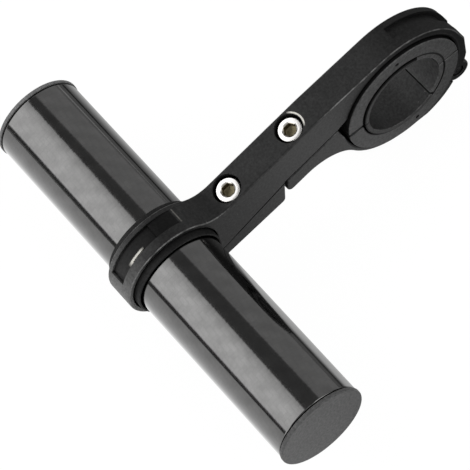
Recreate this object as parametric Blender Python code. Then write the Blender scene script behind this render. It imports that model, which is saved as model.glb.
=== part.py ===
"""Handlebar extender.

A short carbon tube sits crossways in the small split ring of a moulded arm.
The arm's other end closes round the handlebar with a hinged jaw, and two pairs
of plastic half shells fill the clamp down to the bar.

The model is drawn in the arm's own frame: X runs along both clamp axes, Y along
the flat top of the beam and Z squarely out of it, with the handlebar clamp's
axis at the origin. One empty then tips the beam so that the line from the
handlebar to the tube lies level.
"""
import math

import bmesh
import bpy
from mathutils import Matrix, Vector

MM = 0.001

# Fits between neighbouring pieces
PLAY = 0.3 * MM

# Tube and the caps that close it
TUBE_RADIUS = 11.1 * MM
TUBE_WALL = 1.5 * MM
OVERALL_LENGTH = 106.2 * MM
TUBE_SHIFT = 3.56 * MM
CAP_LIP = 0.24 * MM
CAP_THICKNESS = 1.0 * MM
SPIGOT_LENGTH = 9.0 * MM
SPIGOT_WALL = 1.4 * MM
BARB_HEIGHT = 0.5 * MM
BARB_COUNT = 3

# Arm between the two clamp axes
CLAMP_REACH = 67.1 * MM
BEAM_TILT = math.radians(14.2)
ARM_WIDTH = 8.08 * MM
EDGE_ROUND = 0.45 * MM
BEAM_RISE = 3.8 * MM
BEAM_DROP = 7.45 * MM
BEAM_LENGTH = 46.0 * MM
NECK_FILLET = 8.0 * MM

# Small ring, the thin sleeve in it and the tongue that closes it
SLEEVE_WALL = 0.5 * MM
SLEEVE_PROUD = 1.7 * MM
SMALL_RING_WALL = 1.29 * MM
SLIT_WIDTH = 0.4 * MM
SLIT_SLOPE = math.radians(6.5)
TONGUE_SLOPE = math.radians(1.4)
TIP_GAP = 1.3 * MM
TIP_ROUND = 1.3 * MM

# Handlebar clamp
CLAMP_BORE = 16.69 * MM
CLAMP_WALL = 2.14 * MM
JAW_WALL = 1.47 * MM
JAW_GAP = 0.4 * MM
JAW_TIP_DEPTH = 4.0 * MM
JAW_SLOPE = math.radians(16.6)
JAW_FILLET = 4.0 * MM
JAW_RELIEF = 0.3 * MM
MOUTH_FLARE = 0.25 * MM

# Hinge
PIN_RADIUS = 1.4 * MM
PIN_ANGLE = -46.0
PIN_OUT = 1.05 * MM
LUG_RADIUS = 3.1 * MM

# Stopped channels: sideways limits from the arm's middle, then start and end
SMALL_CHANNEL_X = (-2.75 * MM, 1.45 * MM)
SMALL_CHANNEL_ANGLES = (36.0, 79.0, 144.0)
SMALL_CHANNEL_DEPTH = 0.75 * MM
SMALL_RAMP_DEPTH = 0.35 * MM
WINDOW_WIDTH = 0.6 * MM
WINDOW_ANGLES = (95.0, 115.0)
CLAMP_CHANNEL_X = (-2.3 * MM, 1.2 * MM)
CLAMP_CHANNEL_START_ANGLE = 70.0
CLAMP_CHANNEL_FLOOR = 0.95 * MM

# Screws and nuts: each screw is set back from the axis of the ring that it closes
TUBE_SCREW_SETBACK = 20.85 * MM
CLAMP_SCREW_SETBACK = 24.65 * MM
TONGUE_SHARE = 0.58
HEAD_RADIUS = 3.05 * MM
HEAD_HEIGHT = 3.2 * MM
HEAD_SINK = 1.33 * MM
HEAD_ROUND = 0.35 * MM
COUNTERBORE_RADIUS = 3.5 * MM
SHANK_RADIUS = 1.75 * MM
SOCKET_FLATS = 2.9 * MM
SOCKET_DEPTH = 1.9 * MM
NUT_FLATS = 6.2 * MM
NUT_HEIGHT = 2.6 * MM
SHANK_LENGTH = 13.15 * MM
POINT_ROUND = 0.3 * MM

# Half shells and liners inside the clamp
SHELL_BORE = 12.2 * MM
BAR_BORE = 10.67 * MM
SHELL_PROUD = 0.8 * MM
LINER_PROUD = 1.16 * MM
SHELL_PARTING_ANGLES = (-10.2, 164.3)
UPPER_KEY_END_ANGLE = 49.8
LOWER_KEY_START_ANGLE = 296.8
SHELL_ROUND = 0.22 * MM
GROOVE_DEPTH = 1.2 * MM
PIP_RADIUS = 0.4 * MM
PIP_DEPTH = 0.3 * MM
PIP_ANGLES = (77.8, 265.8)

# Fineness of round outlines
ARC_STEP_ANGLE = 5.0
ROUND_STEPS = 72
SCREW_STEPS = 32

# Derived positions
TUBE_Y = -CLAMP_REACH * math.cos(BEAM_TILT)
TUBE_Z = CLAMP_REACH * math.sin(BEAM_TILT)
BEAM_TOP = TUBE_Z + BEAM_RISE
BEAM_BOTTOM = TUBE_Z - BEAM_DROP
SLEEVE_INNER = TUBE_RADIUS + PLAY
SLEEVE_OUTER = SLEEVE_INNER + SLEEVE_WALL
SMALL_BORE = SLEEVE_OUTER + PLAY
SMALL_RING = SMALL_BORE + SMALL_RING_WALL
CLAMP_RING = CLAMP_BORE + CLAMP_WALL
JAW_RING = CLAMP_BORE + JAW_WALL
PIN_ORBIT = CLAMP_BORE + PIN_RADIUS + PIN_OUT
HALF_WIDTH = ARM_WIDTH / 2
SHELL_OUTER = CLAMP_BORE - PLAY
LINER_OUTER = SHELL_BORE - PLAY
HEAD_TOP = BEAM_TOP - HEAD_SINK
HEAD_UNDERSIDE = HEAD_TOP - HEAD_HEIGHT
SCREW_TIP = HEAD_UNDERSIDE - SHANK_LENGTH
NUT_BOTTOM = SCREW_TIP + PLAY / 2
BELOW_ALL = -2 * CLAMP_RING
TUBE_SCREW_Y = TUBE_Y + TUBE_SCREW_SETBACK
CLAMP_SCREW_Y = -CLAMP_SCREW_SETBACK
TONGUES_MEET = TUBE_SCREW_Y + (CLAMP_SCREW_Y - TUBE_SCREW_Y) * TONGUE_SHARE


def polar(radius, degrees, centre=(0.0, 0.0)):
    """Point at a radius and angle round a centre, as (y, z)."""
    angle = math.radians(degrees)
    return (centre[0] + radius * math.cos(angle), centre[1] + radius * math.sin(angle))


def arc(radius, start, end, centre=(0.0, 0.0), step=ARC_STEP_ANGLE):
    """Points of an arc, both ends included."""
    count = max(1, round(abs(end - start) / step))
    return [polar(radius, start + (end - start) * i / count, centre) for i in range(count + 1)]


def bearing(centre, point):
    """Angle in degrees from a centre to a point."""
    return math.degrees(math.atan2(point[1] - centre[1], point[0] - centre[0]))


def crossing(start, direction, centre, radius, which):
    """Where a straight line meets a circle: which = -1 for the first meeting, 1 for the last."""
    off = Vector(start) - Vector(centre)
    along = Vector(direction).normalized()
    half = off.dot(along)
    root = math.sqrt(half * half - off.length_squared + radius * radius)
    hit = Vector(start) + along * (-half + which * root)
    return (hit.x, hit.y)


def rounded_corner(before, corner, after, radius, steps=4):
    """Points of a small arc that replaces a corner between two straight edges."""
    to_before = (Vector(before) - Vector(corner)).normalized()
    to_after = (Vector(after) - Vector(corner)).normalized()
    half = to_before.angle(to_after) / 2
    middle = Vector(corner) + (to_before + to_after).normalized() * (radius / math.sin(half))
    first = Vector(corner) + to_before * (radius / math.tan(half)) - middle
    last = Vector(corner) + to_after * (radius / math.tan(half)) - middle
    turn = first.angle_signed(last)
    points = []
    for i in range(steps + 1):
        spoke = first.copy()
        spoke.rotate(Matrix.Rotation(-turn * i / steps, 2))
        points.append((middle.x + spoke.x, middle.y + spoke.y))
    return points


PIN = polar(PIN_ORBIT, PIN_ANGLE)
TUBE_AXIS = (TUBE_Y, TUBE_Z)
JAW_SWING = math.dist(PIN, (TONGUES_MEET, BEAM_BOTTOM))


def new_empty(name, location, parent=None):
    empty = bpy.data.objects.new(name, None)
    bpy.context.scene.collection.objects.link(empty)
    empty.location = location
    empty.parent = parent
    return empty


def new_material(name, colour, roughness, metallic):
    material = bpy.data.materials.new(name)
    material.use_nodes = True
    shader = material.node_tree.nodes["Principled BSDF"]
    shader.inputs["Base Color"].default_value = (*colour, 1.0)
    shader.inputs["Roughness"].default_value = roughness
    shader.inputs["Metallic"].default_value = metallic
    return material


def add_object(name, bm, parent, pivot=(0.0, 0.0, 0.0), material=None):
    """Turn a mesh drawn in the arm's frame into an object whose origin is the pivot."""
    bmesh.ops.recalc_face_normals(bm, faces=bm.faces)
    bmesh.ops.translate(bm, verts=bm.verts, vec=-Vector(pivot))
    mesh = bpy.data.meshes.new(name)
    bm.to_mesh(mesh)
    bm.free()
    obj = bpy.data.objects.new(name, mesh)
    bpy.context.scene.collection.objects.link(obj)
    obj.parent = parent
    obj.location = pivot if parent is ARM_FRAME else (0.0, 0.0, 0.0)
    if material:
        mesh.materials.append(material)
        mesh.shade_smooth()
        mesh.set_sharp_from_angle(angle=math.radians(32))
    else:
        obj.hide_render = True
        obj.display_type = "WIRE"
    return obj


def prism(outline, x_low, x_high):
    """Solid with a (y, z) outline, drawn out from one X to another."""
    bm = bmesh.new()
    face = bm.faces.new([bm.verts.new((x_low, y, z)) for y, z in outline])
    grown = bmesh.ops.extrude_face_region(bm, geom=[face])
    moved = [item for item in grown["geom"] if isinstance(item, bmesh.types.BMVert)]
    bmesh.ops.translate(bm, verts=moved, vec=(x_high - x_low, 0.0, 0.0))
    return bm


def lathe(profile, steps, closed, centre=(0.0, 0.0, 0.0), upright=False):
    """Solid of revolution about X, or about Z if upright, from (along, radius) points."""
    bm = bmesh.new()
    verts = [bm.verts.new((along, radius, 0.0)) for along, radius in profile]
    pairs = list(zip(verts, verts[1:]))
    if closed:
        pairs.append((verts[-1], verts[0]))
    edges = [bm.edges.new(pair) for pair in pairs]
    bmesh.ops.spin(
        bm, geom=verts + edges, cent=(0, 0, 0), axis=(1, 0, 0), angle=2 * math.pi, steps=steps,
        use_merge=True,
    )
    bmesh.ops.remove_doubles(bm, verts=bm.verts, dist=0.001 * MM)
    if upright:
        bmesh.ops.rotate(bm, verts=bm.verts, matrix=Matrix.Rotation(-math.pi / 2, 3, "Y"))
    bmesh.ops.translate(bm, verts=bm.verts, vec=centre)
    return bm


def rod(radius, x_low, x_high, centre, steps=ROUND_STEPS):
    """Plain cylinder along X."""
    profile = [(x_low, 0.0), (x_low, radius), (x_high, radius), (x_high, 0.0)]
    return lathe(profile, steps, False, (0.0, *centre))


def upright_rod(radius, y, z_low, z_high, steps=SCREW_STEPS):
    """Plain cylinder along Z; six steps give a hexagon with flats facing X."""
    profile = [(z_low, 0.0), (z_low, radius), (z_high, radius), (z_high, 0.0)]
    return lathe(profile, steps, False, (0.0, y, 0.0), upright=True)


def flared_bore(radius, centre, flare=MOUTH_FLARE):
    """Cutter for a round bore through the arm with a slightly opened mouth at each face."""
    past = HALF_WIDTH + 2 * MM
    profile = [(-past, 0.0), (-past, radius + flare), (-HALF_WIDTH, radius + flare)]
    profile += [(-HALF_WIDTH + flare, radius), (HALF_WIDTH - flare, radius)]
    profile += [(HALF_WIDTH, radius + flare), (past, radius + flare), (past, 0.0)]
    return lathe(profile, ROUND_STEPS, False, (0.0, *centre))


def band(inner, outer, start, end, x_low, x_high, centre=(0.0, 0.0)):
    """Part of a tube wall between two radii and two angles."""
    outline = arc(outer, start, end, centre) + arc(inner, end, start, centre)
    return prism(outline, x_low, x_high)


def round_edges(obj, width, segments=2):
    """Soften the rim round both side faces and leave the drawn corners alone."""
    bevel = obj.modifiers.new("soft edges", "BEVEL")
    bevel.limit_method = "ANGLE"
    bevel.angle_limit = math.radians(60)
    bevel.width = width
    bevel.segments = segments
    bevel.use_clamp_overlap = False
    bevel.miter_outer = "MITER_SHARP"


def cut(obj, name, bm):
    """Take a cutter's shape out of an object."""
    cutter = add_object("cut_" + name, bm, ARM_FRAME)
    boolean = obj.modifiers.new(name, "BOOLEAN")
    boolean.operation = "DIFFERENCE"
    boolean.solver = "EXACT"
    boolean.object = cutter


def ring_lug(ring_radius, side):
    """Bearing, seen from the pin, of the point where the lug's circle meets a ring's outside."""
    spread = (ring_radius ** 2 + PIN_ORBIT ** 2 - LUG_RADIUS ** 2) / (2 * ring_radius * PIN_ORBIT)
    angle = PIN_ANGLE + side * math.degrees(math.acos(spread))
    return angle, bearing(PIN, polar(ring_radius, angle)) % 360


def arm_outline():
    """Side view of the arm: beam, small ring with tongue, upper clamp ring and hinge lug."""
    knee = (TUBE_Y + BEAM_LENGTH, BEAM_TOP)
    lean = math.degrees(math.acos(CLAMP_RING / math.hypot(*knee)))
    crown = bearing((0.0, 0.0), knee) - lean

    neck_height = BEAM_RISE + NECK_FILLET
    neck_run = math.sqrt((SMALL_RING + NECK_FILLET) ** 2 - neck_height ** 2)
    neck = (TUBE_Y + neck_run, TUBE_Z + neck_height)
    shoulder = math.degrees(math.atan2(neck_height, neck_run))

    heel = 270.0 - math.degrees(TONGUE_SLOPE)
    sole = polar(SMALL_RING, heel, TUBE_AXIS)
    sole_way = (math.cos(TONGUE_SLOPE), -math.sin(TONGUE_SLOPE))
    tip_sweep = JAW_SWING + TIP_GAP
    tip_low = crossing(sole, sole_way, PIN, tip_sweep, -1)
    tip_high = crossing((0.0, BEAM_BOTTOM), (1.0, 0.0), PIN, tip_sweep, -1)

    lug_top, lug_end = ring_lug(CLAMP_RING, 1)
    lug_start = bearing(PIN, polar(CLAMP_BORE - 1 * MM, PIN_ANGLE - 4))

    outline = arc(CLAMP_RING, lug_top, crown)
    outline.append(knee)
    outline += arc(NECK_FILLET, 270.0, 180.0 + shoulder, neck)
    outline += arc(SMALL_RING, shoulder, heel, TUBE_AXIS)[1:]
    outline += rounded_corner(sole, tip_low, tip_high, TIP_ROUND)
    outline.append(tip_high)
    outline.append((-CLAMP_RING + 2 * MM, BEAM_BOTTOM))
    outline.append((-CLAMP_BORE / 2, BEAM_BOTTOM + 2 * MM))
    outline.append((0.0, 0.0))
    outline += arc(LUG_RADIUS, lug_start, lug_end + 360, PIN, 12)[:-1]
    return outline


def jaw_outline():
    """Side view of the hinged jaw: lower clamp ring, tongue and hinge knuckle."""
    top = BEAM_BOTTOM - JAW_GAP
    tip_high = crossing((0.0, top), (1.0, 0.0), PIN, JAW_SWING, -1)
    tip_low = crossing((0.0, top - JAW_TIP_DEPTH), (1.0, 0.0), PIN, JAW_SWING, -1)
    way = Vector((math.cos(JAW_SLOPE), -math.sin(JAW_SLOPE)))
    below = Vector((way.y, -way.x))
    offset_start = Vector(tip_low) + below * JAW_FILLET
    hollow = crossing(offset_start, way, (0.0, 0.0), JAW_RING + JAW_FILLET, -1)
    leave = math.degrees(math.atan2(-below.y, -below.x))
    land = bearing(hollow, (0.0, 0.0))

    lug_low, lug_start = ring_lug(JAW_RING, -1)
    lug_end = bearing(PIN, polar(CLAMP_BORE - 0.5 * MM, PIN_ANGLE + 8)) % 360 + 360

    outline = rounded_corner((0.0, top), tip_high, tip_low, TIP_ROUND / 2)
    underside = arc(JAW_FILLET, leave, land, hollow, 12)
    outline += rounded_corner(tip_high, tip_low, underside[0], TIP_ROUND)
    outline += underside
    outline += arc(JAW_RING, 180 + land, lug_low + 360)[1:]
    outline += arc(LUG_RADIUS, lug_start, lug_end, PIN, 12)[1:]
    outline.append((0.0, 0.0))
    outline.append((-CLAMP_BORE, 0.0))
    outline.append((-CLAMP_BORE - JAW_RELIEF, top))
    return outline


def cut_screw_seat(obj, name, y, bottom):
    """Counterbore for the head and, down to the bottom, a clearance hole for the shank."""
    floor = HEAD_UNDERSIDE - PLAY
    hole = SHANK_RADIUS + PLAY
    profile = [(BEAM_TOP + 2 * MM, 0.0), (BEAM_TOP + 2 * MM, COUNTERBORE_RADIUS)]
    profile += [(floor, COUNTERBORE_RADIUS), (floor, hole), (bottom, hole), (bottom, 0.0)]
    cut(obj, name + "_screw_seat",
        lathe(profile, SCREW_STEPS, False, (0.0, y, 0.0), upright=True))


def cut_nut_pocket(obj, name, y):
    """Six-sided pocket for the nut, open at the tongue's underside."""
    pocket_radius = (NUT_FLATS / 2 + PLAY) / math.cos(math.radians(30))
    pocket_top = NUT_BOTTOM + NUT_HEIGHT + PLAY
    cut(obj, name + "_nut_pocket",
        upright_rod(pocket_radius, y, BELOW_ALL, pocket_top, 6))


def build_arm(material):
    arm = add_object("arm_body", prism(arm_outline(), -HALF_WIDTH, HALF_WIDTH), ARM_FRAME,
                     material=material)
    round_edges(arm, EDGE_ROUND)
    cut(arm, "clamp_bore", flared_bore(CLAMP_BORE, (0.0, 0.0)))
    cut(arm, "small_bore", flared_bore(SMALL_BORE, TUBE_AXIS))

    past = HALF_WIDTH + 1 * MM
    tip = crossing((0.0, BEAM_BOTTOM), (1.0, 0.0), PIN, JAW_SWING + TIP_GAP, -1)
    slit_start = TUBE_Y + SMALL_BORE / 2
    slit_low = BEAM_BOTTOM - (tip[0] - slit_start) * math.tan(SLIT_SLOPE)
    slit = [
        tip,
        (slit_start, slit_low),
        (slit_start, slit_low - SLIT_WIDTH),
        (tip[0] + TIP_GAP, BEAM_BOTTOM - SLIT_WIDTH),
        (tip[0] + TIP_GAP, BEAM_BOTTOM - SLIT_WIDTH / 2),
    ]
    cut(arm, "slit", prism(slit, -past, past))

    ramp, step, stop = SMALL_CHANNEL_ANGLES
    air = SMALL_RING + 2 * MM
    ramp_angles = [ramp + (step - ramp) * i / 8 for i in range(9)]
    ramp_floor = [polar(SMALL_RING - SMALL_RAMP_DEPTH * i / 8, angle, TUBE_AXIS)
                  for i, angle in enumerate(ramp_angles)]
    floor = arc(SMALL_RING - SMALL_CHANNEL_DEPTH, step, stop, TUBE_AXIS)
    channel = ramp_floor + floor + arc(air, stop, ramp, TUBE_AXIS)
    cut(arm, "small_channel", prism(channel, *SMALL_CHANNEL_X))
    front = SMALL_CHANNEL_X[1]
    cut(arm, "window", band(SMALL_BORE - 1 * MM, air, *WINDOW_ANGLES,
                            front - WINDOW_WIDTH, front, TUBE_AXIS))

    floor_radius = CLAMP_BORE + CLAMP_CHANNEL_FLOOR
    lug_reach = PIN_ORBIT + LUG_RADIUS + 1 * MM
    cut(arm, "clamp_channel", band(floor_radius, lug_reach, PIN_ANGLE - 20,
                                   CLAMP_CHANNEL_START_ANGLE, *CLAMP_CHANNEL_X))
    cut(arm, "knuckle_room", rod(LUG_RADIUS + PLAY, *CLAMP_CHANNEL_X, PIN, 48))
    cut(arm, "pin_hole", rod(PIN_RADIUS + PLAY, -past, past, PIN, 24))

    cut_screw_seat(arm, "tube", TUBE_SCREW_Y, BELOW_ALL)
    cut_screw_seat(arm, "handlebar", CLAMP_SCREW_Y, BEAM_BOTTOM - 1 * MM)
    cut_nut_pocket(arm, "tube", TUBE_SCREW_Y)
    return arm


def build_jaw(material):
    jaw = add_object("handlebar_jaw", prism(jaw_outline(), -HALF_WIDTH, HALF_WIDTH), JAW_HINGE,
                     (0.0, *PIN), material)
    round_edges(jaw, EDGE_ROUND)
    cut(jaw, "jaw_bore", flared_bore(CLAMP_BORE, (0.0, 0.0)))
    past = HALF_WIDTH + 1 * MM
    low, high = CLAMP_CHANNEL_X
    cut(jaw, "rear_ear_room", rod(LUG_RADIUS + PLAY, -past, low + PLAY, PIN, 48))
    cut(jaw, "front_ear_room", rod(LUG_RADIUS + PLAY, high - PLAY, past, PIN, 48))
    cut(jaw, "jaw_pin_hole", rod(PIN_RADIUS + PLAY, -past, past, PIN, 24))
    cut(jaw, "jaw_screw_hole",
        upright_rod(SHANK_RADIUS + PLAY, CLAMP_SCREW_Y, BELOW_ALL, BEAM_BOTTOM + 1 * MM))
    cut_nut_pocket(jaw, "jaw", CLAMP_SCREW_Y)
    return jaw


def build_pin(material):
    end = HALF_WIDTH - PLAY
    rounding = PLAY
    profile = [(-end, 0.0), (-end, PIN_RADIUS - rounding), (-end + rounding, PIN_RADIUS)]
    profile += [(end - rounding, PIN_RADIUS), (end, PIN_RADIUS - rounding), (end, 0.0)]
    bm = lathe(profile, 24, False, (0.0, *PIN))
    return add_object("hinge_pin", bm, ARM_FRAME, (0.0, *PIN), material)


def build_screw(name, y, material):
    """Socket screw; its own axis is square to the beam's top."""
    profile = [
        (HEAD_TOP, 0.0), (HEAD_TOP, HEAD_RADIUS - HEAD_ROUND),
        (HEAD_TOP - HEAD_ROUND / 3, HEAD_RADIUS - HEAD_ROUND / 3),
        (HEAD_TOP - HEAD_ROUND, HEAD_RADIUS), (HEAD_UNDERSIDE, HEAD_RADIUS),
        (HEAD_UNDERSIDE, SHANK_RADIUS), (SCREW_TIP + POINT_ROUND, SHANK_RADIUS),
        (SCREW_TIP, SHANK_RADIUS - POINT_ROUND), (SCREW_TIP, 0.0),
    ]
    bm = lathe(profile, SCREW_STEPS, False, (0.0, y, 0.0), upright=True)
    screw = add_object(name, bm, ARM_FRAME, (0.0, y, HEAD_UNDERSIDE), material)
    socket_radius = SOCKET_FLATS / 2 / math.cos(math.radians(30))
    cut(screw, name + "_socket",
        upright_rod(socket_radius, y, HEAD_TOP - SOCKET_DEPTH, HEAD_TOP + 1 * MM, 6))
    return screw


def build_nut(name, y, parent, pivot, material):
    corner = NUT_FLATS / 2 / math.cos(math.radians(30))
    bm = upright_rod(corner, y, NUT_BOTTOM, NUT_BOTTOM + NUT_HEIGHT, 6)
    nut = add_object(name, bm, parent, pivot, material)
    cut(nut, name + "_hole",
        upright_rod(SHANK_RADIUS + PLAY, y, NUT_BOTTOM - 1 * MM, NUT_BOTTOM + NUT_HEIGHT + 1 * MM))
    return nut


def build_tube(material):
    end = OVERALL_LENGTH / 2 - CAP_THICKNESS - PLAY
    inner = TUBE_RADIUS - TUBE_WALL
    soft = PLAY
    profile = [(-end, inner), (-end, TUBE_RADIUS - soft), (-end + soft, TUBE_RADIUS)]
    profile += [(end - soft, TUBE_RADIUS), (end, TUBE_RADIUS - soft), (end, inner)]
    bm = lathe(profile, ROUND_STEPS, True, (TUBE_SHIFT, *TUBE_AXIS))
    return add_object("carbon_tube", bm, TUBE_MIDDLE, (TUBE_SHIFT, *TUBE_AXIS), material)


def build_cap(name, side, material):
    """End plug: a flange over the tube's end and a hollow spigot with gripping ridges in it."""
    face = OVERALL_LENGTH / 2
    flange_back = face - CAP_THICKNESS
    flange = TUBE_RADIUS + CAP_LIP
    spigot = TUBE_RADIUS - TUBE_WALL - PLAY
    root = spigot - BARB_HEIGHT
    end = flange_back - SPIGOT_LENGTH
    chamfer = CAP_THICKNESS / 3
    profile = [(face, 0.0), (face, flange - chamfer), (face - chamfer / 4, flange - chamfer / 4)]
    profile += [(face - chamfer, flange), (flange_back, flange), (flange_back, root)]
    pitch = SPIGOT_LENGTH / (BARB_COUNT + 1)
    for i in range(BARB_COUNT):
        crest = flange_back - pitch * (i + 0.75)
        profile += [(crest, root), (crest, spigot), (crest - pitch / 2, root)]
    profile += [(end, root), (end, root - SPIGOT_WALL)]
    profile += [(flange_back - CAP_THICKNESS, root - SPIGOT_WALL), (flange_back - CAP_THICKNESS, 0.0)]
    placed = [(side * along, radius) for along, radius in profile]
    bm = lathe(placed, ROUND_STEPS, False, (TUBE_SHIFT, *TUBE_AXIS))
    return add_object(name, bm, TUBE_MIDDLE, (TUBE_SHIFT, *TUBE_AXIS), material)


def build_sleeve(material):
    """Thin split sleeve between the tube and the small ring."""
    reach = HALF_WIDTH + SLEEVE_PROUD
    split = bearing((0.0, 0.0), (SMALL_BORE / 2, -BEAM_DROP - SMALL_BORE * math.tan(SLIT_SLOPE)))
    half_split = math.degrees(PLAY / SLEEVE_OUTER)
    bm = band(SLEEVE_INNER, SLEEVE_OUTER, split + half_split, split + 360 - half_split,
              -reach, reach, TUBE_AXIS)
    sleeve = add_object("tube_liner", bm, ARM_FRAME, (0.0, *TUBE_AXIS), material)
    front = SMALL_CHANNEL_X[1]
    cut(sleeve, "sleeve_window", band(SLEEVE_INNER - 1 * MM, SMALL_BORE, *WINDOW_ANGLES,
                                      front - WINDOW_WIDTH, front, TUBE_AXIS))
    return sleeve


def shell_outline(start, end, key_start, key_end):
    """Half shell with a thicker key at one end that reaches in to the bar."""
    outline = arc(SHELL_OUTER, start, end)
    if key_end < end:
        return outline + arc(SHELL_BORE, end, key_end) + arc(BAR_BORE, key_end, start)
    return outline + arc(BAR_BORE, end, key_start) + arc(SHELL_BORE, key_start, start)


def build_shell(name, outline, pip_angle, parent, pivot, material):
    reach = HALF_WIDTH + SHELL_PROUD
    shell = add_object(name, prism(outline, -reach, reach), parent, pivot, material)
    round_edges(shell, SHELL_ROUND, 1)
    pip = polar((SHELL_OUTER + SHELL_BORE) / 2, pip_angle)
    cut(shell, name + "_pip", rod(PIP_RADIUS, reach - PIP_DEPTH, reach + 1 * MM, pip, 12))
    return shell


def build_liner(name, start, end, parent, pivot, material):
    reach = HALF_WIDTH + LINER_PROUD
    liner = add_object(name, band(BAR_BORE, LINER_OUTER, start, end, -reach, reach), parent, pivot,
                       material)
    round_edges(liner, SHELL_ROUND, 1)
    return liner


for old in list(bpy.data.objects):
    bpy.data.objects.remove(old, do_unlink=True)

ARM_FRAME = new_empty("arm_frame", (0.0, 0.0, 0.0))
ARM_FRAME.rotation_euler = (BEAM_TILT, 0.0, 0.0)
JAW_HINGE = new_empty("jaw_hinge", (0.0, *PIN), ARM_FRAME)
TUBE_MIDDLE = new_empty("tube_middle", (TUBE_SHIFT, *TUBE_AXIS), ARM_FRAME)
FIXED = (0.0, 0.0, 0.0)
HINGED = (0.0, *PIN)

arm_plastic = new_material("arm_plastic", (0.022, 0.022, 0.023), 0.42, 0.0)
jaw_plastic = new_material("jaw_plastic", (0.024, 0.024, 0.025), 0.44, 0.0)
pin_steel = new_material("pin_steel", (0.06, 0.06, 0.062), 0.35, 0.9)
screw_steel = new_material("screw_steel", (0.74, 0.73, 0.70), 0.22, 1.0)
handlebar_screw_steel = new_material("handlebar_screw_steel", (0.74, 0.73, 0.70), 0.24, 1.0)
nut_steel = new_material("nut_steel", (0.50, 0.49, 0.47), 0.35, 1.0)
handlebar_nut_steel = new_material("handlebar_nut_steel", (0.50, 0.49, 0.47), 0.36, 1.0)
carbon_weave = new_material("carbon_weave", (0.05, 0.05, 0.048), 0.15, 0.0)
right_cap_plastic = new_material("right_cap_plastic", (0.11, 0.11, 0.11), 0.40, 0.0)
left_cap_plastic = new_material("left_cap_plastic", (0.11, 0.11, 0.11), 0.41, 0.0)
sleeve_plastic = new_material("sleeve_plastic", (0.012, 0.012, 0.012), 0.55, 0.0)
upper_shell_plastic = new_material("upper_shell_plastic", (0.055, 0.055, 0.053), 0.50, 0.0)
lower_shell_plastic = new_material("lower_shell_plastic", (0.055, 0.055, 0.053), 0.51, 0.0)
upper_liner_plastic = new_material("upper_liner_plastic", (0.045, 0.045, 0.043), 0.48, 0.0)
lower_liner_plastic = new_material("lower_liner_plastic", (0.045, 0.045, 0.043), 0.49, 0.0)

build_arm(arm_plastic)
build_jaw(jaw_plastic)
build_pin(pin_steel)
build_screw("tube_clamp_screw", TUBE_SCREW_Y, screw_steel)
build_screw("handlebar_clamp_screw", CLAMP_SCREW_Y, handlebar_screw_steel)
build_nut("tube_clamp_nut", TUBE_SCREW_Y, ARM_FRAME, FIXED, nut_steel)
build_nut("handlebar_clamp_nut", CLAMP_SCREW_Y, JAW_HINGE, HINGED, handlebar_nut_steel)
build_tube(carbon_weave)
build_cap("end_plug_right", 1, right_cap_plastic)
build_cap("end_plug_left", -1, left_cap_plastic)
build_sleeve(sleeve_plastic)

SHELL_SEAM = math.degrees(PLAY / SHELL_BORE)
LINER_SEAM = math.degrees(PLAY / BAR_BORE)
right_end, left_end = SHELL_PARTING_ANGLES
upper = shell_outline(right_end, left_end, right_end, UPPER_KEY_END_ANGLE)
lower = shell_outline(left_end + SHELL_SEAM, right_end + 360 - SHELL_SEAM, LOWER_KEY_START_ANGLE,
                      right_end + 360)
build_shell("outer_shim_upper", upper, PIP_ANGLES[0], ARM_FRAME, FIXED, upper_shell_plastic)
lower_shell = build_shell("outer_shim_lower", lower, PIP_ANGLES[1], JAW_HINGE, HINGED,
                          lower_shell_plastic)
groove_face = HALF_WIDTH + SHELL_PROUD
cut(lower_shell, "lower_shell_groove",
    band(LINER_OUTER, SHELL_BORE, LOWER_KEY_START_ANGLE - 1, right_end + 361,
         groove_face - GROOVE_DEPTH, groove_face + 1 * MM))
cut(lower_shell, "hinge_hollow",
    rod(LUG_RADIUS + PLAY, -HALF_WIDTH - PLAY, HALF_WIDTH + PLAY, PIN, 48))
build_liner("inner_liner_upper", UPPER_KEY_END_ANGLE + LINER_SEAM, left_end, ARM_FRAME, FIXED,
            upper_liner_plastic)
build_liner("inner_liner_lower", left_end + LINER_SEAM, LOWER_KEY_START_ANGLE - LINER_SEAM, JAW_HINGE,
            HINGED, lower_liner_plastic)
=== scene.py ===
# %% [markdown]
# # A handlebar extender
# A bicycle handlebar extender has a short clear-coated carbon tube, held crossways in
# the small split ring of a moulded arm. The arm's other end is a hinged clamp that is
# filled down to the handlebar by two pairs of plastic half shells. This lesson dresses
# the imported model: each cell makes one piece or one finish as arrays of points, and the
# new piece then rides on the same body as the plain one that it stands for.

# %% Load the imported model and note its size
import math

import bmesh
import bpy
import numpy as np
from mathutils import Matrix, Vector


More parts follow.
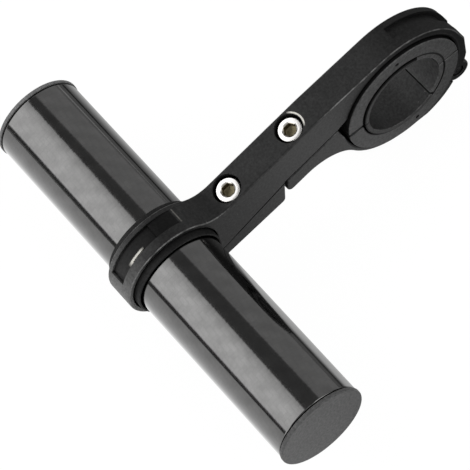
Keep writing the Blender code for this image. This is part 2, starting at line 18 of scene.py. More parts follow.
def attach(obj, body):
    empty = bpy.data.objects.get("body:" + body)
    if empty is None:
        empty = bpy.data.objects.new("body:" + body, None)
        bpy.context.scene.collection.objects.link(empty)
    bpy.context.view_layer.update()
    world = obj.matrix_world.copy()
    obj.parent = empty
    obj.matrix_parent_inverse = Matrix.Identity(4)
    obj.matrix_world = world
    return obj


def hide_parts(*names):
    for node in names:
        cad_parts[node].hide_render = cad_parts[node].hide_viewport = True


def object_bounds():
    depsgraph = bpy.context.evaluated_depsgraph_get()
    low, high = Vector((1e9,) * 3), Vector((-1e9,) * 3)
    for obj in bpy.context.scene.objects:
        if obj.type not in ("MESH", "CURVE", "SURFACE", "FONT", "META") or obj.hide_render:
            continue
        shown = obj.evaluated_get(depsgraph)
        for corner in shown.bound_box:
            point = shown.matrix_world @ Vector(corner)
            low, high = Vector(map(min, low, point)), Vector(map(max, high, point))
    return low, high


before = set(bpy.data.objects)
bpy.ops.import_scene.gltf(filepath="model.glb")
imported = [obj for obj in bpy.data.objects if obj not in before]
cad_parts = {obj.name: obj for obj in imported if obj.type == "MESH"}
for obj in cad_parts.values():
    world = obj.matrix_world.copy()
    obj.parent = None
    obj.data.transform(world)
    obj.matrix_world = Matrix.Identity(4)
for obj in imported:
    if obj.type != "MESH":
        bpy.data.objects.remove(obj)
plain_low, plain_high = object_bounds()
MM = 0.001
plain_size = [round(v / MM, 1) for v in plain_high - plain_low]
print(len(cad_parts), "plain solids,", plain_size, "mm")

# %% [markdown]
# ## Sizes
# Everything is drawn in the arm's own frame, where the beam's top is flat, and is then
# tipped by one angle. The sizes are the real ones in millimetres, so they are typed once
# here, next to what they mean. GAP is the room that is left between neighbours. Reading
# the sizes back from the plain solids would also work, but a named size tells the
# reader what the piece is.

# %% Sizes shared by several pieces
TILT = math.radians(14.2)
REACH = 67.1 * MM
TUBE_AXIS = np.array([-REACH * math.cos(TILT), REACH * math.sin(TILT)])
CLAMP_AXIS = np.zeros(2)
HALF_WIDTH = 4.04 * MM
TUBE_RADIUS = 11.1 * MM
TUBE_SHIFT = 3.56 * MM
SMALL_BORE = 12.2 * MM
SMALL_RING = 13.49 * MM
CLAMP_BORE = 16.69 * MM
CLAMP_RING = 18.83 * MM
JAW_RING = 18.16 * MM
BEAM_TOP = TUBE_AXIS[1] + 3.35 * MM
BEAM_BOTTOM = TUBE_AXIS[1] - 7.45 * MM
TUBE_SCREW_Y = TUBE_AXIS[0] + 20.85 * MM
CLAMP_SCREW_Y = -24.65 * MM
PIN_ORBIT = 19.14 * MM
PIN_ANGLE = -46.0
LUG_RADIUS = 3.1 * MM
HEAD_TOP = BEAM_TOP - 0.88 * MM
HEAD_UNDERSIDE = HEAD_TOP - 3.2 * MM
SCREW_TIP = HEAD_UNDERSIDE - 13.15 * MM
SHELL_BORE = 12.2 * MM
BAR_BORE = 10.67 * MM
GAP = 0.3 * MM
ARM_RIM, SHELL_RIM = 0.45 * MM, 0.22 * MM
CLEARANCE_HOLE, PIN_HOLE = 2.05 * MM, 1.7 * MM
NUT_HEIGHT, NUT_POCKET = 2.6 * MM, 6.8 * MM
SLIT_SLOPE = math.radians(6.5)
print("beam height", round((BEAM_TOP - BEAM_BOTTOM) / MM, 2), "mm")

# %% [markdown]
# ## Camera
# The picture is a long-lens view from above the tube's right end, rolled so that the arm
# runs up to the right. A camera can be aimed with a tracking constraint, but a rolled
# view is easier to state as three directions: right, up and back make its matrix.

# %% Place the camera
eye = Vector((294.71, -175.18, 601.86)) * MM
right = Vector((0.61849, 0.77363, -0.13772))
up = Vector((-0.66113, 0.60704, 0.44092))
back = Vector((0.42471, -0.18165, 0.88692))
camera_data = bpy.data.cameras.new("camera")
camera_data.sensor_width = 36.0
camera_data.lens = 228.12
camera_data.clip_start = 0.01
camera_data.clip_end = 20.0
camera = bpy.data.objects.new("camera", camera_data)
camera.matrix_world = Matrix.Translation(eye) @ Matrix((right, up, back)).transposed().to_4x4()
bpy.context.scene.collection.objects.link(camera)
bpy.context.scene.camera = camera
print("camera", [round(v, 3) for v in eye], "m from the clamp's axis")

# %% [markdown]
# ## Shader formulas
# The studio and all the finishes are sums over places and directions. A small class
# stands for what a shader node gives out, so that such a sum is written as a plain
# formula, and each operator in it adds the node that works it out. Placing and joining
# the nodes one by one does the same, but it hides the formula.

# %% Write node trees as formulas
class Signal:
    """What a node gives out: a number, a colour or a vector."""

    def __init__(self, socket):
        self.socket, self.tree = socket, socket.id_data

    def __add__(self, other):
        return calc("ADD", self, other)

    def __sub__(self, other):
        return calc("SUBTRACT", self, other)

    def __mul__(self, other):
        return calc("MULTIPLY", self, other)

    def __truediv__(self, other):
        return calc("DIVIDE", self, other)

    def __abs__(self):
        return calc("ABSOLUTE", self)


def feed(socket, value):
    """Join a signal to an input, or set a steady value on it."""
    if isinstance(value, Signal):
        value.tree.links.new(value.socket, socket)
    else:
        socket.default_value = value


def node(tree, kind, inputs=(), **settings):
    """Add a shader node, set its properties and feed its inputs, by name or number."""
    made = tree.nodes.new(kind)
    for name, value in settings.items():
        setattr(made, name, value)
    for label, value in dict(inputs).items():
        feed(made.inputs[label], value)
    return made


def tap(tree, kind, inputs=(), output=0, **settings):
    """Add a node and give back one of its outputs."""
    return Signal(node(tree, kind, inputs, **settings).outputs[output])


def calc(operation, first, *others, **settings):
    """One Math node; every value but the first may be a plain number."""
    values = dict(enumerate((first, *others)))
    return tap(first.tree, "ShaderNodeMath", values, operation=operation, **settings)


def axes(vector):
    """X, Y and Z of a vector."""
    return [Signal(out) for out in node(vector.tree, "ShaderNodeSeparateXYZ", {0: vector}).outputs]


def spread(value, low, high, to_low=0.0, to_high=1.0):
    """Carry the range from low to high onto another one, held at both ends."""
    ranges = {0: value, 1: low, 2: high, 3: to_low, 4: to_high}
    return tap(value.tree, "ShaderNodeMapRange", ranges)


def fade(value, low, high):
    return spread(value, low, high, 1.0, 0.0)


def blend(factor, first, second):
    """Colour that goes from the first to the second while the factor goes from 0 to 1."""
    colours = {0: factor, 6: first, 7: second}
    return tap(factor.tree, "ShaderNodeMix", colours, 2, data_type="RGBA")


def graded(place, stops):
    """Grey read off a list of (place from 0 to 1, level), straight between two stops."""
    ramp = node(place.tree, "ShaderNodeValToRGB", {0: place})
    elements = ramp.color_ramp.elements
    while len(elements) > 1:
        elements.remove(elements[-1])
    for i, (at, level) in enumerate(stops):
        stop = elements[0] if i == 0 else elements.new(at)
        stop.position = at
        stop.color = grey(level)
    return Signal(ramp.outputs["Color"])


def grey(level, warmth=0.0):
    return (level * (1 + warmth), level, level * (1 - warmth), 1.0)


def ray(tree, kind):
    """1 for rays of one kind and 0 for all others."""
    return tap(tree, "ShaderNodeLightPath", (), f"Is {kind} Ray")


def seen_straight(tree):
    """1 for rays that come from the camera, also through something clear."""
    return calc("MAXIMUM", ray(tree, "Camera"), ray(tree, "Transmission"))


print("shader formulas ready")

# %% [markdown]
# ## Studio
# Black satin plastic and a clear coat show mostly what they reflect, so the studio is as
# much a part of their look as their colour. One broad soft box hangs over the tube's near
# side and a dim panel over its far side. The dark gap between them draws the long stripe
# on the tube, and it opens like a wedge towards the tube's right end; the box's outer
# edge leans less than the inner one. Area lamps could do this, but a world that is
# painted by direction is smoother and lights the part evenly from end to end. The camera
# itself sees plain white.

# %% Paint the studio by direction
WHITE = grey(1.0)
TOP_LEVEL = 2.22
LIGHT_BANDS = [
    (0.0, 0.26), (2.0, 0.34), (6.0, 0.52), (63.5, 0.56), (65.0, 0.16), (97.0, 0.16),
    (98.5, 1.38), (108.0, 1.72), (126.0, 2.22), (150.0, 2.15), (168.5, 2.05), (171.0, 0.10),
    (178.5, 0.10), (183.0, 0.8), (356.0, 0.8), (360.0, 0.26),
]
GAP_MIDDLE, GAP_HALF = math.radians(80), math.radians(10)
OUTER_EDGE, OUTER_WIDTH = math.radians(150), math.radians(20)
LEAN_PER_X, NO_LEAN_AT = math.radians(80), -0.43
OUTER_LEANS_LESS = 0.6

world = bpy.data.worlds.new("studio")
bpy.context.scene.world = world
world.use_nodes = True
tree = world.node_tree
tree.nodes.clear()
x, y, z = axes(tap(tree, "ShaderNodeTexCoord", (), "Generated"))
around = calc("ARCTAN2", z, y)
side = calc("MINIMUM", calc("MAXIMUM", (around - GAP_MIDDLE) / GAP_HALF, -1.0), 1.0)
outer = calc("DIVIDE", around - OUTER_EDGE, OUTER_WIDTH, use_clamp=True)
side = side * (outer * -OUTER_LEANS_LESS + 1.0)
around = around - (x - NO_LEAN_AT) * LEAN_PER_X * side
turn = calc("FRACT", around / (2 * math.pi) + 1.0)
bands = graded(turn, [(degrees / 360, level / TOP_LEVEL) for degrees, level in LIGHT_BANDS])
room = tap(tree, "ShaderNodeBackground", {"Color": bands, "Strength": TOP_LEVEL})
plain_white = tap(tree, "ShaderNodeBackground", {"Color": WHITE, "Strength": 1.0})
choice = tap(tree, "ShaderNodeMixShader", {0: seen_straight(tree), 1: room, 2: plain_white})
node(tree, "ShaderNodeOutputWorld", {"Surface": choice})
print("soft box level", TOP_LEVEL)

# %% [markdown]
# ## From arrays to meshes
# Each shape below is an array of points worked out at once. Three makers turn such
# arrays into closed meshes: a plate (an outline carried sideways, with its two rims
# rounded), a turned piece (a profile carried round an axis) and a shaped bar, whose
# radius may change with both height and angle, as on a hexagon or a thread.

# %% Put points and faces into a mesh
def make_object(name, points, faces):
    """Mesh object from points in the arm's frame and faces given as lists of point numbers."""
    mesh = bpy.data.meshes.new(name)
    mesh.from_pydata(points.reshape(-1, 3).tolist(), [], faces)
    made = bpy.data.objects.new(name, mesh)
    bpy.context.scene.collection.objects.link(made)
    return made


def grid_faces(rows, columns, wrap_rows=False):
    """Quads of a grid whose columns close on themselves, and whose rows may too."""
    used_rows = rows if wrap_rows else rows - 1
    i, j = np.meshgrid(np.arange(used_rows), np.arange(columns), indexing="ij")
    up_row, next_column = (i + 1) % rows, (j + 1) % columns
    corners = (i * columns + j, i * columns + next_column, up_row * columns + next_column,
               up_row * columns + j)
    return np.stack(corners, -1).reshape(-1, 4).tolist()


def open_edges(made):
    work = bmesh.new()
    work.from_mesh(made.data)
    count = sum(1 for edge in work.edges if len(edge.link_faces) != 2)
    work.free()
    return count


def settle(made, angle=32.0):
    """Tip a finished mesh out of the arm's frame, by a turn about X, shade it and tell
    how it came out."""
    made.data.transform(Matrix.Rotation(TILT, 4, "X"))
    made.data.shade_smooth()
    made.data.set_sharp_from_angle(angle=math.radians(angle))
    weighted = made.modifiers.new("even shading", "WEIGHTED_NORMAL")
    weighted.keep_sharp = True
    print(made.name, len(made.data.polygons), "faces,", open_edges(made), "open edges")
    return made


print("the arm's frame is tipped by", round(math.degrees(TILT), 1), "degrees")

# %% [markdown]
# A moulded arm is an outline with a thickness, and its rims are never knife sharp. The
# rim is rounded by stepping the outline inwards along its own normals while it moves
# out towards the side face, so the step and the move together draw a quarter circle.
# A bevel on the finished solid is the other way, but it struggles where cuts meet.

# %% Plates with rounded rims
def polar(radius, degrees, centre=CLAMP_AXIS):
    """Points round a centre: the centre plus radius times (cosine, sine) of each angle,
    with one radius for all of them or one for each."""
    angle = np.radians(np.atleast_1d(np.asarray(degrees, float)))
    return centre + np.asarray(radius)[..., None] * np.stack([np.cos(angle), np.sin(angle)], -1)


def arc(radius, start, end, centre=CLAMP_AXIS, step=1.5):
    count = max(1, int(round(abs(end - start) / step)))
    return polar(radius, np.linspace(start, end, count + 1), centre)


def ring_part(inner, outer, start, end, centre=CLAMP_AXIS):
    """Outline of a piece of a ring between two angles."""
    return np.concatenate([arc(outer, start, end, centre), arc(inner, end, start, centre)])


def bearing(centre, point):
    """Angle in degrees at which one point lies, seen from another."""
    return math.degrees(math.atan2(point[1] - centre[1], point[0] - centre[0]))


def outline_normals(outline):
    """Outward normal at each corner: the two edges' normals, averaged and lengthened."""
    ahead = np.roll(outline, -1, 0) - outline
    ahead /= np.linalg.norm(ahead, axis=1)[:, None]
    normal = np.stack([ahead[:, 1], -ahead[:, 0]], 1)
    both = normal + np.roll(normal, 1, 0)
    return 2.0 * both / np.maximum((both * both).sum(1), 0.5)[:, None]


def plate(name, outline, x_low, x_high, rim, steps=5):
    """Outline (y, z) carried along X; near each side it steps in by rim times one minus
    the cosine of the rim angle while X moves out by rim times the sine."""
    angle = np.linspace(0.0, math.pi / 2, steps + 1)
    inset = rim * (1.0 - np.cos(angle))
    out = rim * np.sin(angle)
    insets = np.concatenate([inset[::-1], inset])
    x = np.concatenate([x_low + rim - out[::-1], x_high - rim + out])
    ring = outline[None] - outline_normals(outline)[None] * insets[:, None, None]
    points = np.concatenate([np.broadcast_to(x[:, None, None], ring.shape[:2] + (1,)), ring], -1)
    rows, columns = ring.shape[:2]
    faces = grid_faces(rows, columns)
    faces.append(list(range(columns))[::-1])
    faces.append(list(range((rows - 1) * columns, rows * columns)))
    return make_object(name, points, faces)


print("plate maker ready")

# %% [markdown]
# Turned pieces and bars are drawn as a table of rings. Every ring has a place along the
# axis, a radius, and a share of how far it is pulled from a circle towards a hexagon of
# the same surface. A nut, a socket head and a plain tube are then one kind of array.

# %% Turned pieces and shaped bars
def angles_round(columns):
    return np.arange(columns) * 2 * math.pi / columns


def hexagon_radius(flats, theta):
    """Distance from the axis to a hexagon's side: half the flats over the cosine of the
    angle from the middle of the nearest side. Corners lie at 0, 60, 120 degrees and so on."""
    sixth = math.pi / 3
    return flats / 2 / np.cos(theta % sixth - sixth / 2)


def ring_object(name, along, radius, centre, upright=False, wrap=False):
    """Closed surface from rings: along[i] is the place on the axis and radius[i, j] the
    distance from it at angle j. Rings of no radius become one point."""
    columns = radius.shape[1]
    theta = angles_round(columns)
    along = np.broadcast_to(np.asarray(along, float).reshape(len(radius), -1), radius.shape)
    if upright:
        points = np.stack([radius * np.sin(theta), centre[0] + radius * np.cos(theta), along], -1)
    else:
        points = np.stack([along, centre[0] + radius * np.cos(theta),
                           centre[1] + radius * np.sin(theta)], -1)
    made = make_object(name, points, grid_faces(len(radius), columns, wrap))
    work = bmesh.new()
    work.from_mesh(made.data)
    bmesh.ops.remove_doubles(work, verts=work.verts, dist=1e-7)
    bmesh.ops.recalc_face_normals(work, faces=work.faces)
    work.to_mesh(made.data)
    work.free()
    return made


def turned(name, profile, centre, columns=160, upright=False, wrap=False):
    """Surface of revolution: each profile point (along, radius) drawn out into a ring."""
    profile = np.asarray(profile, float)
    radius = np.repeat(profile[:, 1:2], columns, 1)
    return ring_object(name, profile[:, 0], radius, centre, upright, wrap)


def eased(profile, radius, steps=5, closed=False):
    """Profile with each inner corner swapped for a small arc that touches both edges."""
    points = [np.asarray(p, float) for p in profile]
    count = len(points)
    result = []
    for i, corner in enumerate(points):
        if not closed and i in (0, count - 1):
            result.append(corner[None])
            continue
        back, ahead = points[i - 1] - corner, points[(i + 1) % count] - corner
        size = min(radius, 0.45 * np.linalg.norm(back), 0.45 * np.linalg.norm(ahead))
        first = corner + back / np.linalg.norm(back) * size
        last = corner + ahead / np.linalg.norm(ahead) * size
        t = np.linspace(0.0, 1.0, steps + 1)[:, None]
        result.append((1 - t) ** 2 * first + 2 * t * (1 - t) * corner + t ** 2 * last)
    return np.concatenate(result)


print("ring maker ready")

# %% [markdown]
# Holes, slots and channels are easiest to state as the thing that is taken away. Each
# cutter is a plate or a ring object as well, so every wall of a cut is still a worked
# out surface; the Boolean only joins them, once, and its result is kept as a plain mesh.

# %% Take cutters out of a piece
MERGE_MM, SLIVER_MM = 0.004, 0.001


def carve(made, cutters):
    """Take each cutter out of the piece in turn and keep only the finished mesh. The
    meshes are counted in millimetres meanwhile, where the sums keep more digits, and
    points closer than a few thousandths are merged and sliver holes filled."""
    made.data.transform(Matrix.Scale(1 / MM, 4))
    for cutter in cutters:
        cutter.data.transform(Matrix.Scale(1 / MM, 4))
        boolean = made.modifiers.new("cut", "BOOLEAN")
        boolean.operation = "DIFFERENCE"
        boolean.solver = "EXACT"
        boolean.object = cutter
        bpy.context.view_layer.update()
        shaped = made.evaluated_get(bpy.context.evaluated_depsgraph_get())
        work = bmesh.new()
        work.from_mesh(shaped.data)
        bmesh.ops.remove_doubles(work, verts=work.verts, dist=MERGE_MM)
        bmesh.ops.dissolve_degenerate(work, edges=work.edges, dist=SLIVER_MM)
        rims = [edge for edge in work.edges if len(edge.link_faces) == 1]
        bmesh.ops.holes_fill(work, edges=rims, sides=4)
        made.modifiers.clear()
        work.to_mesh(made.data)
        work.free()
        bpy.data.objects.remove(cutter, do_unlink=True)
    made.data.transform(Matrix.Scale(MM, 4))
    return made


def rod(radius, x_low, x_high, centre, columns=96):
    profile = [(x_low, 0.0), (x_low, radius), (x_high, radius), (x_high, 0.0)]
    return turned("cutter", profile, centre, columns)


def flared_bore(radius, centre, lip=0.3 * MM, columns=240):
    """Bore whose mouth opens by a quarter circle, so that the ring's rim is round."""
    past = HALF_WIDTH + 2 * MM
    turn = np.linspace(0.0, math.pi / 2, 6)
    mouth = np.stack([HALF_WIDTH - lip * (1 - np.sin(turn)), radius + lip * (1 - np.cos(turn))], 1)
    half = np.concatenate([mouth, [(past, radius + lip), (past, 0.0)]])
    profile = np.concatenate([half[::-1] * (-1, 1), half])
    return turned("cutter", profile, centre, columns)


def band(inner, outer, start, end, x_low, x_high, centre=CLAMP_AXIS):
    outline = ring_part(inner, outer, start, end, centre)
    return plate("cutter", outline, x_low, x_high, 0.02 * MM, 1)


print("cutters ready")

# %% [markdown]
# ## The moulded arm
# One glass-filled nylon moulding: a beam with a split ring for the tube at one end and
# the upper half of the handlebar clamp at the other. Its side view is a chain of arcs
# and straight runs. The same chain is used for the plain solid, here with finer arcs.

# %% Draw the arm's side view
def line_circle(start, way, centre, radius, which):
    """Where a straight line meets a circle: the first meeting for -1, the last for 1."""
    way = np.asarray(way, float) / np.hypot(*way)
    off = np.asarray(start, float) - centre
    half = off @ way
    return start + way * (-half + which * math.sqrt(half ** 2 - off @ off + radius ** 2))


def corner_arc(before, corner, after, radius, steps=10):
    """Arc that replaces a corner: its centre lies on the corner's bisector, and its ends
    are where perpendiculars from that centre meet the two edges."""
    back = (before - corner) / np.linalg.norm(before - corner)
    ahead = (after - corner) / np.linalg.norm(after - corner)
    half = math.acos(back @ ahead) / 2
    middle = corner + (back + ahead) / np.linalg.norm(back + ahead) * radius / math.sin(half)
    start = bearing(middle, corner + back * radius / math.tan(half))
    end = bearing(middle, corner + ahead * radius / math.tan(half))
    sweep = (end - start + 180) % 360 - 180
    return arc(radius, start, start + sweep, middle, abs(sweep) / steps)


def lug_meets_ring(ring, side):
    spread = (ring ** 2 + PIN_ORBIT ** 2 - LUG_RADIUS ** 2) / (2 * ring * PIN_ORBIT)
    angle = PIN_ANGLE + side * math.degrees(math.acos(spread))
    return angle, bearing(PIN, polar(ring, angle)[0]) % 360


PIN = polar(PIN_ORBIT, PIN_ANGLE)[0]
TONGUES_MEET = TUBE_SCREW_Y + (CLAMP_SCREW_Y - TUBE_SCREW_Y) * 0.58
JAW_SWING = math.dist(PIN, (TONGUES_MEET, BEAM_BOTTOM))
TIP_GAP = 0.8 * MM
LEVEL = (1.0, 0.0)
TONGUE_SLOPE = 2.4
ARM_TIP = line_circle((0.0, BEAM_BOTTOM), LEVEL, PIN, JAW_SWING + TIP_GAP, -1)
BOSS_RING = CLAMP_RING + 1.12 * MM
LUG_REACH = PIN_ORBIT * math.cos(math.radians(PIN_ANGLE) + TILT) + LUG_RADIUS


KNEE_FROM_TUBE, KNEE_BEND, NECK_FILLET = 46 * MM, 30 * MM, 8 * MM
TONGUE_CORNER, TONGUE_EDGE = 1.3 * MM, 0.3 * MM
BOSS_END, BOSS_FULL = 5, -20


def boss(start, end):
    """Thicker wall beside the hinge: radius = ring + 1.12 mm * (3 t^2 - 2 t^3), where t runs
    from 0 at the end to 1 at -20 degrees, and it reaches out no further than the lug."""
    angle = np.linspace(start, end, 48)
    t = np.clip((end - angle) / (end - BOSS_FULL), 0, 1)
    radius = CLAMP_RING + (BOSS_RING - CLAMP_RING) * (3 * t ** 2 - 2 * t ** 3)
    return polar(np.minimum(radius, LUG_REACH / np.cos(np.radians(angle) + TILT)), angle)


def arm_outline():
    """From the hinge over the clamp's crown, along the beam, round the small ring and back
    along the tongue. The line from knee to crown touches the clamp's ring, and the neck's
    fillet touches both the beam's top and the small ring."""
    knee = np.array([TUBE_AXIS[0] + KNEE_FROM_TUBE, BEAM_TOP])
    crown = bearing(CLAMP_AXIS, knee) - math.degrees(math.acos(CLAMP_RING / np.hypot(*knee)))
    fillet = NECK_FILLET
    rise = BEAM_TOP - TUBE_AXIS[1] + fillet
    run = math.sqrt((SMALL_RING + fillet) ** 2 - rise ** 2)
    shoulder = bearing((0.0, 0.0), (run, rise))
    slope = math.radians(TONGUE_SLOPE)
    sole = polar(SMALL_RING, 270 - TONGUE_SLOPE, TUBE_AXIS)[0]
    sole_way = np.array([math.cos(slope), -math.sin(slope)])
    tip_low = line_circle(sole, sole_way, PIN, JAW_SWING + TIP_GAP, -1)
    lug_top, lug_end = lug_meets_ring(BOSS_RING, 1)
    lug_start = bearing(PIN, polar(CLAMP_BORE - 1 * MM, PIN_ANGLE - 4)[0])
    crown_end = polar(CLAMP_RING, crown)[0]
    bend = corner_arc(crown_end, knee, np.array([TUBE_AXIS[0] + run, BEAM_TOP]), KNEE_BEND)
    return np.concatenate([
        boss(lug_top, BOSS_END), arc(CLAMP_RING, BOSS_END, crown)[1:], bend,
        arc(fillet, 270, 180 + shoulder, TUBE_AXIS + (run, rise)),
        arc(SMALL_RING, shoulder, 270 - TONGUE_SLOPE, TUBE_AXIS)[1:],
        corner_arc(sole, tip_low, ARM_TIP, TONGUE_CORNER),
        corner_arc(tip_low, ARM_TIP, CLAMP_AXIS + (0.0, BEAM_BOTTOM), TONGUE_EDGE, 4),
        [(-CLAMP_RING + 2 * MM, BEAM_BOTTOM), (-CLAMP_BORE / 2, BEAM_BOTTOM + 2 * MM), (0.0, 0.0)],
        arc(LUG_RADIUS, lug_start, lug_end + 360, PIN, 4)[:-1],
    ])


outline = arm_outline()
print("arm outline", len(outline), "points")

# %% [markdown]
# The cuts are those of the mould: the two bores with rounded mouths, the slit that lets
# the small ring close, two stopped channels in the outsides of the rings with a narrow
# window through to the sleeve, room for the jaw's knuckle, the two screw seats and the
# pocket of the tube clamp's nut.

# %% Cut the arm
PAST = HALF_WIDTH + 1 * MM
CHANNEL_X = (-2.3 * MM, 1.2 * MM)
SMALL_CHANNEL_X = (-2.75 * MM, 1.45 * MM)
WINDOW_X = (SMALL_CHANNEL_X[1] - 0.6 * MM, SMALL_CHANNEL_X[1])
RAMP_START, RAMP_END, CHANNEL_END = 36, 79, 144
RAMP_DEPTH, CHANNEL_DEPTH = 0.35 * MM, 0.75 * MM
WINDOW = (95, 115)
RECESS_FROM, RECESS_DEPTH = 52, 0.08 * MM
# the pale line across the ramp is a painted highlight: its angle, half width and strength
PALE_AT, PALE_HALF, PALENESS = 49.2, 0.6, 0.16
HINGE_CHANNEL = (PIN_ANGLE - 20, 70)
SLIT_WIDTH, SEAT_RADIUS, SEAT_SOFT = 0.4 * MM, 3.5 * MM, 0.07 * MM


def slit_cutter():
    start = TUBE_AXIS[0] + SMALL_BORE / 2
    low = BEAM_BOTTOM - (ARM_TIP[0] - start) * math.tan(SLIT_SLOPE)
    mouth = ARM_TIP[0] + TIP_GAP
    corners = [ARM_TIP, (start, low), (start, low - SLIT_WIDTH),
               (mouth, BEAM_BOTTOM - SLIT_WIDTH), (mouth, BEAM_BOTTOM - SLIT_WIDTH / 2)]
    return plate("cutter", np.array(corners, float), -PAST, PAST, 0.01 * MM, 1)


def small_channel_cutter():
    """Ramp that sinks evenly with the angle, then a step to the channel's full depth."""
    angle = np.linspace(RAMP_START, RAMP_END, 40)
    depth = RAMP_DEPTH * (angle - RAMP_START) / (RAMP_END - RAMP_START)
    outline = np.concatenate([
        polar(SMALL_RING - depth, angle, TUBE_AXIS),
        arc(SMALL_RING - CHANNEL_DEPTH, RAMP_END, CHANNEL_END, TUBE_AXIS),
        arc(SMALL_RING + 2 * MM, CHANNEL_END, RAMP_START, TUBE_AXIS)])
    return plate("cutter", outline[::-1], *SMALL_CHANNEL_X, 0.02 * MM, 1)


def seat_cutter(y, bottom):
    """Counterbore with a softened mouth and, under it, the clearance hole."""
    floor, hole, wide, soft = HEAD_UNDERSIDE - GAP, CLEARANCE_HOLE, SEAT_RADIUS, SEAT_SOFT
    turn = np.linspace(0, math.pi / 2, 4)
    mouth = np.stack([BEAM_TOP - soft * (1 - np.sin(turn)), wide + soft * (1 - np.cos(turn))], 1)
    profile = np.concatenate([[(bottom, 0.0), (bottom, hole), (floor, hole), (floor, wide)], mouth,
                              [(BEAM_TOP + 2 * MM, wide + soft), (BEAM_TOP + 2 * MM, 0.0)]])
    return turned("cutter", profile, (y, 0.0), 96, upright=True)


def nut_pocket_cutter(y):
    """Six-sided pocket that is open below and closed just above the nut."""
    low, high = SCREW_BOTTOM, NUT_TOP + GAP
    radius = hexagon_radius(NUT_POCKET, angles_round(96))[None] * np.array([[0], [1], [1], [0]])
    return ring_object("cutter", [low, low, high, high], radius, (y, 0.0), upright=True)


def mark(made, name, values):
    """Write one number per point; materials read it by name."""
    layer = made.data.attributes.new(name, "FLOAT", "POINT")
    layer.data.foreach_set("value", np.asarray(values, np.float32))


def spots(made):
    points = np.empty(len(made.data.vertices) * 3)
    made.data.vertices.foreach_get("co", points)
    return points.reshape(-1, 3)


def mark_channel(made):
    """Floor of the small channel, which gets painted shade: where it has sunk far enough below
    the ring's outside. The pale line, a painted highlight, crosses the ramp where it has sunk
    only a little."""
    x, y, z = spots(made).T
    off_y, off_z = y - TUBE_AXIS[0], z - TUBE_AXIS[1]
    radius, angle = np.hypot(off_y, off_z), np.degrees(np.arctan2(off_z, off_y))
    inside = (x > SMALL_CHANNEL_X[0] - 1e-6) & (x < SMALL_CHANNEL_X[1] + 1e-6)
    inside &= radius > SMALL_BORE + 0.1 * MM
    floor = inside & (radius < SMALL_RING - RECESS_DEPTH) & (angle > RECESS_FROM)
    mark(made, "recess", floor & (angle < CHANNEL_END + 2))
    mark(made, "pale", PALENESS * (inside & (abs(angle - PALE_AT) < PALE_HALF)))


SCREW_BOTTOM = -2 * CLAMP_RING
NUT_BOTTOM = SCREW_TIP + 0.15 * MM
NUT_TOP = NUT_BOTTOM + NUT_HEIGHT
EAR_ROOM = LUG_RADIUS + GAP
arm = plate("arm_moulding", outline, -HALF_WIDTH, HALF_WIDTH, ARM_RIM)
carve(arm, [
    flared_bore(CLAMP_BORE, CLAMP_AXIS),
    flared_bore(SMALL_BORE, TUBE_AXIS),
    slit_cutter(),
    small_channel_cutter(),
    band(SMALL_BORE - 1 * MM, SMALL_RING + 2 * MM, *WINDOW, *WINDOW_X, TUBE_AXIS),
    band(CLAMP_BORE + 0.95 * MM, PIN_ORBIT + LUG_RADIUS + 1 * MM, *HINGE_CHANNEL, *CHANNEL_X),
    rod(EAR_ROOM, CHANNEL_X[0] - 0.01 * MM, CHANNEL_X[1] + 0.01 * MM, PIN),
    rod(PIN_HOLE, -PAST, PAST, PIN),
    seat_cutter(TUBE_SCREW_Y, SCREW_BOTTOM),
    seat_cutter(CLAMP_SCREW_Y, BEAM_BOTTOM - 1 * MM),
    nut_pocket_cutter(TUBE_SCREW_Y),
])
mark_channel(arm)
settle(arm)

# %% [markdown]
# ## The hinged jaw
# The lower half of the handlebar clamp swings on the hinge pin. Its tongue lies under
# the beam and holds a nut. The ends of both tongues are arcs about the pin, so that the
# jaw can swing past the arm's own tongue.

# %% Draw and cut the jaw
JAW_TOP = BEAM_BOTTOM - 0.4 * MM
JAW_BOSS = JAW_RING + 1.36 * MM
JAW_TONGUE_DEPTH, JAW_FLAT = 5.2 * MM, 6.24 * MM
WALL_START, WALL_FULL = 250, 300


def thicker_wall(end):
    """The ring's wall grows towards the hinge: radius = ring + 1.36 mm * sin(t * 90 degrees),
    where t runs from 0 at 250 degrees to 1 at 300, and it never dips below the ring's foot."""
    angle = np.linspace(WALL_START, end, 48)
    t = np.clip((angle - WALL_START) / (WALL_FULL - WALL_START), 0, 1)
    radius = JAW_RING + (JAW_BOSS - JAW_RING) * np.sin(t * math.pi / 2)
    return polar(np.minimum(radius, -JAW_RING / np.sin(np.radians(angle) + TILT)), angle)


def jaw_outline():
    """The hollow under the tongue is an arc that touches both the flat underside at (f, u)
    and the ring: its radius is (f^2 + u^2 - ring^2) / (2 (ring + u))."""
    tip_high = line_circle((0.0, JAW_TOP), LEVEL, PIN, JAW_SWING, -1)
    tip_low = line_circle((0.0, JAW_TOP - JAW_TONGUE_DEPTH), LEVEL, PIN, JAW_SWING, -1)
    flat_end, low = tip_low[0] + JAW_FLAT, tip_low[1]
    fillet = (flat_end ** 2 + low ** 2 - JAW_RING ** 2) / (2 * (JAW_RING + low))
    hollow = np.array([flat_end, low - fillet])
    underside = arc(fillet, 90, bearing(hollow, CLAMP_AXIS), hollow, 3)
    lug_low, lug_start = lug_meets_ring(JAW_BOSS, -1)
    lug_end = bearing(PIN, polar(CLAMP_BORE - 0.5 * MM, PIN_ANGLE + 8)[0]) % 360 + 360
    return np.concatenate([
        corner_arc(CLAMP_AXIS + (0.0, JAW_TOP), tip_high, tip_low, TONGUE_CORNER / 2),
        corner_arc(tip_high, tip_low, underside[0], TONGUE_CORNER),
        underside,
        arc(JAW_RING, 180 + bearing(hollow, CLAMP_AXIS), WALL_START)[1:],
        thicker_wall(lug_low + 360)[1:],
        arc(LUG_RADIUS, lug_start, lug_end, PIN, 4)[1:],
        [(0.0, 0.0), (-CLAMP_BORE, 0.0), (-CLAMP_BORE - 0.3 * MM, JAW_TOP)],
    ])


